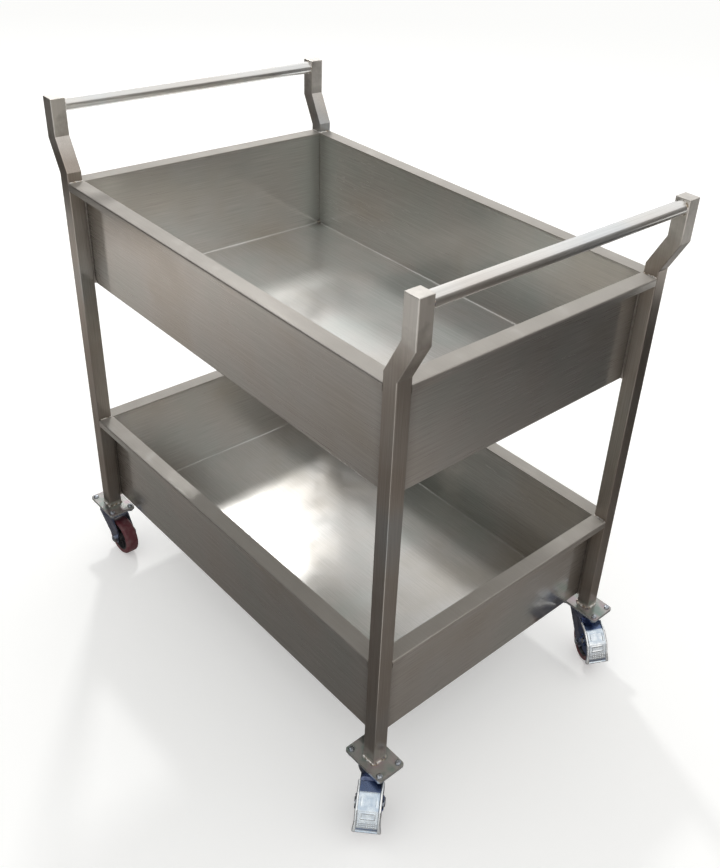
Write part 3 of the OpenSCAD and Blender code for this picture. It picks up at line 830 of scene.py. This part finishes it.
@dataclass
class Welds:
    """The weld beads that join trays, legs, handles and foot plates."""

    leg: float = 25.4
    crank: float = 27.0
    tub_x: float = 389.5
    tub_y: float = 248.0
    rims: Pair = (311.0, 779.0)
    tub_depth: float = 188.0
    sheet: float = 1.2
    foot_z: float = 103.0
    handle_z: float = 896.0
    handle_r: float = 11.1
    rim_bead: float = 1.5  # the beads' radii
    web_bead: float = 1.9
    seam_bead: float = 0.5
    foot_bead: float = 2.2
    ring_bead: float = 0.9
    ripple: float = 1.9  # from one ripple of a bead to the next
    step: float = 0.7  # from one ring of a bead's mesh to the next

    def bead(self, start: Point, end: Point, radius: float, seed: int) -> Shell:
        """A straight weld bead.

        At distance s its radius is radius (1 + 0.12 sin(2 pi s / ripple) + 0.22 wobble(s)),
        drawn in to a round tip over its own radius at each end, and its line strays by a fifth
        of the radius.

        Args:
            start: Where it begins.
            end: Where it ends.
            radius: Its mean radius.
            seed: Fixes its irregularity.

        Returns:
            A closed shell.
        """
        a, b = np.array(start, float), np.array(end, float)
        length = float(np.linalg.norm(b - a))
        s = np.linspace(0, length, max(int(length / self.step), 6))
        tip = np.sqrt(np.clip(1 - (1 - np.clip(np.minimum(s, length - s) / radius, 0, 1)) ** 2,
                              0.03, 1))
        r = radius * (1 + 0.12 * np.sin(2 * np.pi * s / self.ripple)
                      + 0.22 * wobble(s, 14.0, seed)) * tip
        path = a + (b - a) * (s / length)[:, None]
        stray = 0.2 * radius * np.stack([wobble(s, 11.0, seed + k) for k in (1, 2, 3)], -1)
        return carry(path + stray, r)

    def ring(self, centre: Point, around: float, radius: float, seed: int) -> Shell:
        """A bead round a tube that runs along Y.

        Its radius at angle a is radius (1 + 0.15 sin(n a) + 0.2 sin(3 a + seed)), for the whole
        number n of ripples that fit round it.

        Args:
            centre: Its middle.
            around: The radius of its centre line.
            radius: Its mean radius.
            seed: Fixes its irregularity.

        Returns:
            A closed shell.
        """
        a = np.linspace(0, 2 * np.pi, 72, endpoint=False)
        path = np.stack([around * np.cos(a), 0 * a, around * np.sin(a)], -1) + centre
        s = a * around
        r = radius * (1 + 0.15 * np.sin(np.round(s[-1] / self.ripple) * a)
                      + 0.2 * np.sin(3 * a + seed))
        return carry(path, r, closed=True)

    def rim(self, z: float, seed: int) -> Shell:
        """Beads where a flange meets the four legs.

        Args:
            z: The height of the tray's rim.
            seed: Fixes their irregularity.

        Returns:
            The beads.
        """
        shells = []
        for n, (sx, sy) in enumerate(SIGNS):
            out_x, in_x = sx * (LEG_X + self.leg / 2), sx * (LEG_X - self.leg / 2)
            out_y, in_y = sy * (LEG_Y + self.leg / 2), sy * (LEG_Y - self.leg / 2)
            first = seed + 10 * n
            end = (in_x, in_y, z)
            shells += [self.bead((in_x, out_y - sy, z), end, self.rim_bead, first),
                       self.bead((out_x - sx, in_y, z), end, self.rim_bead, first + 3)]
        return joined(shells)

    def seams(self, z: float, seed: int) -> Shell:
        """Upright beads in a tub's corners and between them and the legs, dressed flush.

        Those at the legs swell to a small web at the tub's foot by 1 + 1.1 exp(-distance / 5 mm).

        Args:
            z: The height of the tray's rim.
            seed: Fixes their irregularity.

        Returns:
            The beads.
        """
        shells = []
        low, high = z - self.tub_depth + 3.0, z - 1.0
        height = np.linspace(low, high, 90)
        r = self.web_bead * (1 + 1.1 * np.exp((low - height) / 5))
        for sx, sy in SIGNS:
            x = sx * (self.tub_x + LEG_X - self.leg / 2) / 2
            y = sy * (self.tub_y + LEG_Y - self.leg / 2) / 2
            shells.append(carry(np.stack([0 * height + x, 0 * height + y, height], -1), r, 10))
            inner = (sx * (self.tub_x - self.sheet), sy * (self.tub_y - self.sheet))
            shells.append(self.bead((*inner, low + 1), (*inner, high), self.seam_bead,
                                    seed + sx + 2 * sy))
        return joined(shells)

    def corners(self, z: float, seed: int) -> Shell:
        """A short bright blob inside each corner of a tub, at its foot.

        Args:
            z: The height of the tray's rim.
            seed: Fixes their irregularity.

        Returns:
            The blobs.
        """
        low = z - self.tub_depth + 4.0
        shells = []
        for n, (sx, sy) in enumerate(SIGNS):
            x, y = sx * (self.tub_x - self.sheet), sy * (self.tub_y - self.sheet)
            shells.append(self.bead((x - 2 * sx, y - 2 * sy, low - 2), (x, y, low + 4),
                                    self.foot_bead, seed + 10 * n))
        return joined(shells)

    def feet(self, seed: int) -> Shell:
        """Fillets round the foot of each leg on its plate.

        Args:
            seed: Fixes their irregularity.

        Returns:
            The fillets.
        """
        shells = []
        h = self.leg / 2
        for n, (sx, sy) in enumerate(SIGNS):
            x, y, z = sx * LEG_X, sy * LEG_Y, self.foot_z + 0.2
            corners = [(x - h, y - h, z), (x + h, y - h, z), (x + h, y + h, z), (x - h, y + h, z)]
            shells += [self.bead(corners[k], corners[(k + 1) % 4], self.foot_bead,
                                 seed + 10 * n + k) for k in range(4)]
        return joined(shells)

    def handles(self, seed: int) -> Shell:
        """Beads round both ends of each handle tube.

        Args:
            seed: Fixes their irregularity.

        Returns:
            The beads.
        """
        x, y = LEG_X + self.crank, LEG_Y - self.leg / 2 - 0.3
        return joined([self.ring((sx * x, sy * y, self.handle_z), self.handle_r + 0.1,
                                 self.ring_bead, seed + sx + 2 * sy)
                       for sx in (-1, 1) for sy in (-1, 1)])

    def build(self) -> None:
        """Makes and dresses all the beads."""
        for part, z in zip(("lower", "upper"), self.rims):
            add_piece(f"{part}_rim_welds", self.rim(z, int(z)), WELD, FRAME_BODY)
            add_piece(f"{part}_corner_webs", self.seams(z, int(z) + 200), GAP_PAINTED_SHADE, FRAME_BODY)
            add_piece(f"{part}_corner_blobs", self.corners(z, int(z) + 400), WELD, FRAME_BODY)
        add_piece("foot_welds", self.feet(50), WELD, FRAME_BODY)
        add_piece("handle_welds", self.handles(90), WELD, FRAME_BODY)


@dataclass
class Body:
    """The welded body: trays, legs, caps, handles and foot plates."""

    finishes: dict[str, Finish] = field(default_factory=lambda: {
        "upper_tray": SHEET, "lower_tray": SHEET, "leg_caps": TUBE,
        "handle_right": POLISHED, "handle_left": POLISHED,
        "plate_bolts": FASTENER, "plate_nuts": FASTENER})

    def build(self) -> None:
        """Dresses the solids of the body."""
        for node, finish in self.finishes.items():
            dress(node, finish)
        for corner in CORNERS:
            dress(f"{corner.name}_leg", TUBE)
            dress(f"{corner.name}_foot_plate", PLATE)


@dataclass
class Pedal:
    """The pressed brake pedal, as one folded sheet.

    The sheet runs down over the wheel and ends in a flared foot. Its sides fold down into skirts,
    its edges are raised as rails, and its faces carry pressed frames and grip dots.
    """

    radius: float = 45.5
    bends: tuple[float, float, float, float] = (87.0, 66.0, 36.0, 12.0)
    lip_angle: float = -70.0
    lip_l: float = 17.0
    half_w: float = 20.3
    lip_half_w: float = 22.5
    skirt: float = 21.0
    sheet: float = 2.0
    fold_r: float = 2.2
    rail_h: float = 1.5
    rail_w: float = 3.2
    emboss: float = 0.45
    frame_half: float = 13.0
    frame_inset: float = 3.6
    frame_round: float = 2.0
    dot_rows: Point = (2.2, 5.4, 8.6)
    dot_pitch: float = 3.5
    dot_h: float = 0.5
    dot_r: float = 1.35
    dots_half: float = 15.5
    reach: float = 3.5
    pivot: Pair = (52.0, 60.0)
    ear_r: float = 8.0

    def line(self) -> tuple[np.ndarray, np.ndarray]:
        """The pedal's line seen from the side.

        Straight flats join points on a circle about the axle, and the first flat starts reach
        before the first of them. A running mean over 3 mm rounds the bends.

        Returns:
            Points (x, z) every 0.5 mm and the distance of each along the line.
        """
        a = np.radians(self.bends)
        knots = np.stack([TRAIL + self.radius * np.cos(a),
                          WHEEL_R + self.radius * np.sin(a)], -1)
        tip = knots[-1] + self.lip_l * np.array([math.cos(math.radians(self.lip_angle)),
                                                 math.sin(math.radians(self.lip_angle))])
        knots = np.vstack([knots, tip])
        run = np.concatenate([[0], np.cumsum(np.linalg.norm(np.diff(knots, axis=0), axis=1))])
        s = np.arange(-self.reach, run[-1], 0.5)
        before = self.reach + 3
        padded = np.arange(-before, run[-1] + 3, 0.5)
        ends = [knots[0] - (knots[1] - knots[0]) / run[1] * before,
                tip + (tip - knots[-2]) / (run[-1] - run[-2]) * 3]
        full = np.vstack([ends[0], knots, ends[1]])
        marks = np.concatenate([[-before], run, [run[-1] + 3]])
        raw = np.stack([np.interp(padded, marks, full[:, k]) for k in (0, 1)], -1)
        kernel = np.ones(7) / 7
        even = np.stack([np.convolve(raw[:, k], kernel, "same") for k in (0, 1)], -1)
        keep = np.stack([np.interp(s, padded, even[:, k]) for k in (0, 1)], -1)
        return keep, s

    def relief(self, s: np.ndarray, y: np.ndarray, flats: np.ndarray) -> np.ndarray:
        """How far the face stands out from the flats.

        Rails are steps up along both edges. A frame is a ring of one height where a rounded
        rectangle's distance function lies within half its width, and dots are raised bumps.

        Args:
            s: Distance down the line, a column.
            y: Distance across, for each point.
            flats: Distances at which the bends lie.

        Returns:
            The height of each point, in millimetres.
        """
        inside = self.half_w - self.rail_w
        height = self.rail_h * smooth(np.abs(y), inside - 1.4, inside)
        for k, share in ((1, 1.0), (2, 0.9)):
            middle = (flats[k] + flats[k + 1]) / 2
            half = (flats[k + 1] - flats[k]) / 2 - self.frame_inset
            dx = np.abs(s - middle) - half + self.frame_round
            dy = np.abs(y) - self.frame_half * share + self.frame_round
            out = np.hypot(np.maximum(dx, 0), np.maximum(dy, 0)) + np.minimum(
                np.maximum(dx, dy), 0) - self.frame_round
            height = height + self.emboss * smooth(np.abs(out + 1.3), 1.3, 0.7)
        pitch = self.dot_pitch
        for row in self.dot_rows:
            dots = np.hypot(s - flats[3] - row, (y + pitch / 2) % pitch - pitch / 2)
            height = height + (self.dot_h * smooth(dots, self.dot_r, 0.3)
                               * smooth(np.abs(y), self.dots_half, self.dots_half - 0.5))
        return height

    def face(self) -> tuple[Shell, dict[str, np.ndarray]]:
        """The folded sheet's outer face as a function of (distance down, distance across).

        Returns:
            The face, and for each of its points its painted shade and its wear and painted
            highlight: painted shade in the skirts, on the flat under the foot plate and just above
            the roll, wear and painted highlight along the rails and on the last flat.
        """
        line, s = self.line()
        ahead = np.gradient(line, axis=0)
        ahead /= np.linalg.norm(ahead, axis=1, keepdims=True)
        out = np.stack([-ahead[:, 1], ahead[:, 0]], -1)
        out *= np.sign(np.sum(out * (line - [TRAIL, WHEEL_R]), 1, keepdims=True))
        a = np.radians(self.bends)
        knots = np.stack([np.cos(a), np.sin(a)], -1) * self.radius
        flats = np.concatenate([[0], np.cumsum(np.linalg.norm(np.diff(knots, axis=0), axis=1))])
        flare = smooth(s, flats[3] - 2, s[-1])
        half = self.half_w + (self.lip_half_w - self.half_w) * flare
        depth = self.skirt * (1 - smooth(s, flats[3] - 5, flats[3] + 4)) + 0.4
        turn = self.fold_r * np.pi / 2
        share = np.linspace(-1, 1, 141)
        whole = half - self.fold_r + turn + depth
        q = np.abs(share)[None, :] * whole[:, None]
        flat = (half - self.fold_r)[:, None]
        angle = np.clip((q - flat) / self.fold_r, 0, np.pi / 2)
        y = np.minimum(q, flat) + self.fold_r * np.sin(angle)
        drop = self.fold_r * (1 - np.cos(angle)) + np.maximum(q - flat - turn, 0)
        y = y * np.sign(share)[None, :]
        height = self.relief(s[:, None], y, flats) * (drop < self.fold_r)
        rise = height - drop
        x = line[:, :1] + out[:, :1] * rise
        z = line[:, 1:] + out[:, 1:] * rise
        down = s[:, None] + 0 * y
        crease = smooth(np.abs(down - s[-1] + 4.5), 2.2, 0.8)
        # painted shadow of the foot plate on the flat beneath it, and painted shade in the crease
        # above the roll
        shade = np.maximum(0.85 * smooth(down, flats[1] - 2, flats[1] - 4), 0.7 * crease)
        edge = smooth(np.abs(y), self.half_w - 4.4, self.half_w - 3.4) * (drop < 1.6)
        # painted shade: deep blue in the skirts and the shaded places above, except along the rails
        painted_shade_blue = np.maximum(smooth(drop, 1.2, 3.0), shade * (1 - edge))
        # wear and painted highlight: near white along the rails and on the last flat
        wear_and_painted_highlight = np.maximum(0.8 * edge, 0.35 * smooth(down, flats[2] - 1, flats[2] + 1)
                            * (1 - crease)) * (1 - smooth(drop, 1.2, 2.5))
        return grid(np.stack([x, y, z], -1)), {"painted_shade_blue": painted_shade_blue, "wear_and_painted_highlight": wear_and_painted_highlight}

    def build(self, corner: Corner) -> None:
        """Makes the pedal of one caster, in place of its solid.

        Args:
            corner: The corner where the caster stands.
        """
        face, marks = self.face()
        piece = add_piece(f"{corner.name}_pressed_pedal", face.moved(corner.place()),
                          PRESSING, f"{corner.name}_pedal",
                          (f"{corner.name}_brake_pedal",), 60)
        mark(piece.data, marks)
        wall = piece.modifiers.new("sheet", "SOLIDIFY")
        wall.thickness, wall.offset = self.sheet * MM, -1
        line, _ = self.line()
        tip = line[-1]
        y = np.linspace(-self.lip_half_w, self.lip_half_w, 40)
        ends = np.sqrt(np.clip(1 - (np.abs(y) / self.lip_half_w) ** 24, 0.04, 1))
        roll = carry(np.stack([0 * y + tip[0] - 0.6, y, 0 * y + tip[1]], -1), 1.8 * ends, 14)
        ear = revolve(np.array([[self.ear_r - 0.4, -1.0], [self.ear_r, -0.6], [self.ear_r, 0.6],
                                [self.ear_r - 0.4, 1.0]]), 40)
        shells = [roll]
        for side in (-1, 1):
            spot = Matrix.Translation((self.pivot[0], side * (self.half_w - 1.0), self.pivot[1]))
            shells.append(ear.moved(spot @ Matrix.Rotation(math.pi / 2, 4, "X")))
        add_piece(f"{corner.name}_pedal_roll_and_ears",
                  joined(shells).moved(corner.place()), PRESSING,
                  f"{corner.name}_pedal")


@dataclass
class Caster:
    """One swivel caster: plate, kingpin, balls, fork, axle and wheel, and a brake if it has one."""

    corner: Corner
    axle_r: float = 4.0
    axle_af: float = 13.0
    head_h: float = 5.5
    tip: float = 1.5
    fork_w: float = 36.0

    def hexagon(self, height: float) -> Shell:
        """A chamfered hexagon from z = 0 up.

        Its wall lies at af / 2 / cos(a) for the angle a from the middle of each flat, and the top
        edge drops by tan 30 times its distance past the chamfer circle.

        Args:
            height: How far up it reaches.

        Returns:
            A closed shell.
        """
        a = np.radians(np.arange(0, 360, 5))
        wall = self.axle_af / 2 / np.cos((a + np.pi / 6) % (np.pi / 3) - np.pi / 6)
        circle = self.axle_af / 2 * 0.96
        drop = (wall - circle) * math.tan(math.radians(30))
        rows = [(wall, 0 * a), (wall, height - drop), (0 * a + circle, height + 0 * a)]
        return capped(np.stack([np.stack([r * np.cos(a), r * np.sin(a), z], -1)
                                for r, z in rows]))

    def thread(self, low: float, high: float, pitch: float = 1.25) -> Shell:
        """A screw thread: r = root + depth |2 frac(z / pitch - a / 2 pi) - 1| for angle a.

        Args:
            low: Where it starts.
            high: Its tip, drawn in by a chamfer.
            pitch: From one turn to the next.

        Returns:
            A closed shell.
        """
        z = np.arange(low, high + 0.01, pitch / 8)[:, None]
        a = (2 * np.pi * np.arange(32) / 32)[None, :]
        wave = np.abs(2 * ((z / pitch - a / (2 * np.pi)) % 1) - 1)
        r = (self.axle_r - 0.6) + 0.6 * wave
        r = np.minimum(r, self.axle_r - np.maximum(z - high + 0.8, 0))
        return capped(np.stack([r * np.cos(a), r * np.sin(a), z + 0 * a], -1))

    def axle(self) -> None:
        """Makes the axle bolt and its nut, chamfered and threaded, in place of their solids."""
        name, body = self.corner.name, f"{self.corner.name}_swivel"
        turn = Matrix.Rotation(math.pi / 2, 4, "X")
        here = self.corner.place() @ Matrix.Translation((TRAIL, 0, WHEEL_R)) @ turn
        half = self.fork_w / 2
        shank = revolve(np.array([[self.axle_r, -half], [self.axle_r, half]]), 32)
        head = self.hexagon(self.head_h).moved(
            Matrix.Translation((0, 0, -half)) @ Matrix.Rotation(math.pi, 4, "X"))
        tip = self.thread(half, half + self.head_h + self.tip)
        add_piece(f"{name}_axle_screw", (shank + head + tip).moved(here), FASTENER, body,
                  (f"{name}_axle_bolt",), 30)
        nut = self.hexagon(self.head_h).moved(Matrix.Translation((0, 0, half)))
        add_piece(f"{name}_axle_hex_nut", nut.moved(here), FASTENER, body,
                  (f"{name}_axle_nut",), 30)

    def build(self) -> None:
        """Dresses the solids of the caster and makes its detailed pieces."""
        finishes = {"caster_plate": PRESSING, "kingpin": FASTENER, "swivel_balls": BEARING,
                    "fork": FORK, "axle_bush": BEARING, "wheel_core": CORE, "tyre": TYRE}
        if self.corner.braked:
            finishes |= {"brake_shoe": RUBBER, "pedal_rivets": FASTENER}
            Pedal().build(self.corner)
        for part, finish in finishes.items():
            dress(f"{self.corner.name}_{part}", finish)
        self.axle()


# The studio

LAMP_PLACE = (-2.545, 1.35, 2.872)  # where a mirrored lamp lights the front of both tray floors


@dataclass
class Lamp:
    """A square softbox."""

    name: str
    place: Point
    aim: Point
    size: Pair
    power: float
    on_metal: bool

    def build(self) -> None:
        """Hangs the lamp, turned towards its aim; on_metal limits it to gloss, else to matt."""
        data = bpy.data.lights.new(self.name, "AREA")
        data.shape = "RECTANGLE"
        data.size, data.size_y = self.size
        data.energy = self.power
        lamp = place_in_scene(self.name, data)
        lamp.location = self.place
        toward = Vector(self.aim) - Vector(self.place)
        lamp.rotation_euler = toward.to_track_quat("-Z", "Y").to_euler()
        lamp.visible_camera = False
        lamp.visible_diffuse = not self.on_metal
        lamp.visible_glossy = self.on_metal


@dataclass
class Flag:
    """A grey card that only the polished metal mirrors, to shape its reflections.

    It shows grey, whose strengths are given at evenly spaced places, and its edges fade out.
    """

    name: str
    corner: Point
    along: Point
    across: Point
    levels: tuple[tuple[float, ...], ...]
    fade: float = 0.1
    colour: str = "#fff6ee"

    def build(self) -> None:
        """Makes the card as corner + u along + v across, u and v from 0 to 1.

        The rows of levels lie along u and their entries along v; between them the grey is mixed
        in proportion. The cover climbs smoothly from the nearest edge.
        """
        u, v = np.meshgrid(np.linspace(0, 1, 33), np.linspace(0, 1, 33), indexing="ij")
        points = (np.array(self.corner) + u[..., None] * np.array(self.along)
                  + v[..., None] * np.array(self.across))
        sheet = grid(points)
        mesh = bpy.data.meshes.new(self.name)
        mesh.from_pydata(sheet.points.tolist(), [], sheet.faces[0].tolist())
        given = np.array(self.levels)
        wide = np.stack([np.interp(v[0], np.linspace(0, 1, given.shape[1]), row)
                         for row in given])
        grey = np.stack([np.interp(u[:, 0], np.linspace(0, 1, given.shape[0]), column)
                         for column in wide.T], -1)
        inset = np.minimum.reduce([u, 1 - u, v, 1 - v])
        mark(mesh, {"grey": grey, "cover": smooth(inset, 0.0, self.fade)})
        card = place_in_scene(self.name, mesh)
        card.visible_camera = card.visible_diffuse = card.visible_shadow = False
        card.visible_transmission = card.visible_volume_scatter = False
        paper = bpy.data.materials.new(self.name)
        tree = blank(paper)
        tone = add(tree, "Attribute", attribute_name="grey")
        share = add(tree, "Attribute", attribute_name="cover")
        shown = add(tree, "Emission", {
            "Color": linear(self.colour), "Strength": tone.outputs["Fac"]})
        clear = add(tree, "BsdfTransparent")
        mixed = add(tree, "MixShader", {0: share.outputs["Fac"], 1: clear, 2: shown})
        add(tree, "OutputMaterial", {"Surface": mixed})
        mesh.materials.append(paper)


@dataclass
class Camera:
    """The camera of the photograph: where it stood, how it was turned and its lens.

    The focal length and the principal point are in pixels of the picture.
    """

    place: Point = (1120.5, -951.3, 1387.3)
    azimuth: float = 43.43
    elevation: float = 32.07
    roll: float = 4.93
    focal: float = 986.2
    centre: Pair = (436.0, 397.0)

    def build(self) -> None:
        """Sets the scene's camera."""
        a, e, r = (math.radians(x) for x in (self.azimuth, self.elevation, self.roll))
        ahead = Vector((-math.sin(a) * math.cos(e), math.cos(a) * math.cos(e), -math.sin(e)))
        level = ahead.cross(Vector((0, 0, 1))).normalized()
        rise = level.cross(ahead)
        right = level * math.cos(r) + rise * math.sin(r)
        up = rise * math.cos(r) - level * math.sin(r)
        data = bpy.data.cameras.new("camera")
        data.sensor_width = 36.0
        data.lens = self.focal * data.sensor_width / max(PICTURE)
        data.shift_x = (PICTURE[0] / 2 - self.centre[0]) / max(PICTURE)
        data.shift_y = (self.centre[1] - PICTURE[1] / 2) / max(PICTURE)
        camera = place_in_scene("camera", data)
        turn = Matrix((right, up, -ahead)).transposed().to_4x4()
        camera.matrix_world = Matrix.Translation(Vector(self.place) * MM) @ turn
        bpy.context.scene.camera = camera


@dataclass
class Studio:
    """A plain pale floor, a white surround, a key lamp, a fill and grey cards, and the camera."""

    floor_colour: str = "#f0f0ee"
    floor_size: float = 9.0
    floor_lift: float = 0.28
    surround: float = 0.8
    lamps: tuple[Lamp, ...] = (
        Lamp("key_lamp", LAMP_PLACE, (0, 0, 0.5), (0.3, 0.3), 36, on_metal=False),
        Lamp("glint_lamp", LAMP_PLACE, (0, 0, 0.5), (0.45, 0.45), 42, on_metal=True))
    flags: tuple[Flag, ...] = (
        # on the floor before the long side: the walls' sheen, bright at the left
        Flag("front_card", (-2.0, -0.2, 0.004), (2.5, 0, 0), (0, -1.2, 0),
             ((0.36, 0.5, 0.8, 0.9), (0.32, 0.42, 0.7, 0.76), (0.27, 0.29, 0.34, 0.34),
              (0.15, 0.16, 0.19, 0.19), (0.1, 0.1, 0.12, 0.12)), 0.04),
        # under the near corner: the legs' two tones
        Flag("corner_card", (0.85, -0.45, 0.004), (1.2, 0, 0), (0, -1.0, 0),
             ((0.14, 0.14), (0.14, 0.14)), 0.08),
        # on the floor beyond the braked end: the end walls' fall to dark
        Flag("right_card", (0.3, -0.5, 0.004), (2.1, 0, 0), (0, 2.3, 0),
             ((0.14, 0.17, 0.2, 0.12, 0.06, 0.04, 0.03), (0.3, 0.38, 0.33, 0.16, 0.06, 0.03, 0.02),
              (0.35, 0.35, 0.25, 0.13, 0.06, 0.03, 0.02)), 0.06),
        # under the trolley: dark undersides
        Flag("under_card", (-0.5, -0.4, 0.003), (0.98, 0, 0), (0, 0.8, 0),
             ((0.12, 0.12), (0.1, 0.1)), 0.08),
        # upright beyond the far right corner: keeps the right leg dark
        Flag("end_card", (2.4, 0.3, 0.0), (-1.1, 2.1, 0), (0, 0, 1.6),
             ((0.1, 0.12, 0.2), (0.06, 0.1, 0.2))),
        # a light before the braked end: glints on the zinc and the right handle
        Flag("pedal_card", (2.2, -0.7, 0.2), (0, 1.1, 0), (-0.7, 0, 2.2), ((1.6, 1.6), (1.6, 1.6))),
        # upright to the left of the camera: dark inner far walls
        Flag("side_card", (-2.6, -0.2, 0.0), (2.8, -2.4, 0), (0, 0, 2.3),
             ((0.1, 0.08, 0.05, 0.1), (0.08, 0.06, 0.03, 0.08)), 0.08),
        # a pale wall behind the far left: the light of rims and tray floors
        Flag("back_card", (-3.4, -0.4, 0.1), (3.4, 3.6, 0), (0, 0, 3.3),
             ((0.7, 0.85, 0.85), (0.9, 1.1, 1.15), (0.7, 0.9, 1.0)), colour="#ffffff"))

    def floor(self) -> None:
        """Lays the floor: a matt disc under the trolley.

        Where it is seen, mirrored or seen through glass, it is lifted towards white, and the
        trolley's shadow stays on it.
        """
        a = np.linspace(0, 2 * np.pi, 96, endpoint=False)
        ring = np.stack([np.cos(a), np.sin(a), 0 * a], -1) * self.floor_size
        mesh = bpy.data.meshes.new("floor")
        mesh.from_pydata(ring.tolist(), [], [list(range(len(a)))])
        matt = bpy.data.materials.new("matt_pale_floor")
        tree = blank(matt)
        paint = add(tree, "BsdfDiffuse", {"Color": linear(self.floor_colour)})
        glow = add(tree, "Math", {0: self.seen(tree), 1: self.floor_lift}, operation="MULTIPLY")
        lift = add(tree, "Emission", {"Strength": glow})
        shader = add(tree, "AddShader", {0: paint, 1: lift})
        add(tree, "OutputMaterial", {"Surface": shader})
        mesh.materials.append(matt)
        place_in_scene("floor", mesh)

    def seen(self, tree: Tree) -> Socket:
        """Tells what is seen directly, mirrored or through glass from what only lights the rest.

        Args:
            tree: The node tree.

        Returns:
            1 where a surface is seen in one of those ways, and 0 elsewhere.
        """
        rays = add(tree, "LightPath")
        bare = add(tree, "Math", {
            0: rays.outputs["Is Camera Ray"], 1: rays.outputs["Is Glossy Ray"]},
            operation="MAXIMUM")
        return add(tree, "Math", {0: bare, 1: rays.outputs["Is Transmission Ray"]},
                   operation="MAXIMUM").outputs[0]

    def sky(self) -> None:
        """Surrounds the scene with even light, and with white where it is seen or mirrored."""
        world = bpy.data.worlds.new("surround")
        tree = blank(world)
        strength = add(tree, "MapRange", {
            "Value": self.seen(tree), "To Min": self.surround, "To Max": 1.0})
        light = add(tree, "Background", {"Color": linear("#ffffff"), "Strength": strength})
        add(tree, "OutputWorld", {"Surface": light})
        bpy.context.scene.world = world

    def build(self) -> None:
        """Makes the studio."""
        bpy.context.scene.view_settings.view_transform = "Standard"
        self.floor()
        self.sky()
        for piece in (*self.lamps, *self.flags):
            piece.build()
        Camera().build()


def main() -> None:
    """Builds the studio and the trolley's sub-assemblies."""
    logging.basicConfig(level=logging.INFO, format="%(name)s: %(message)s")
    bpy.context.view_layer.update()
    Studio().build()
    Body().build()
    Welds().build()
    for corner in CORNERS:
        Caster(corner).build()


if __name__ == "__main__":
    main()
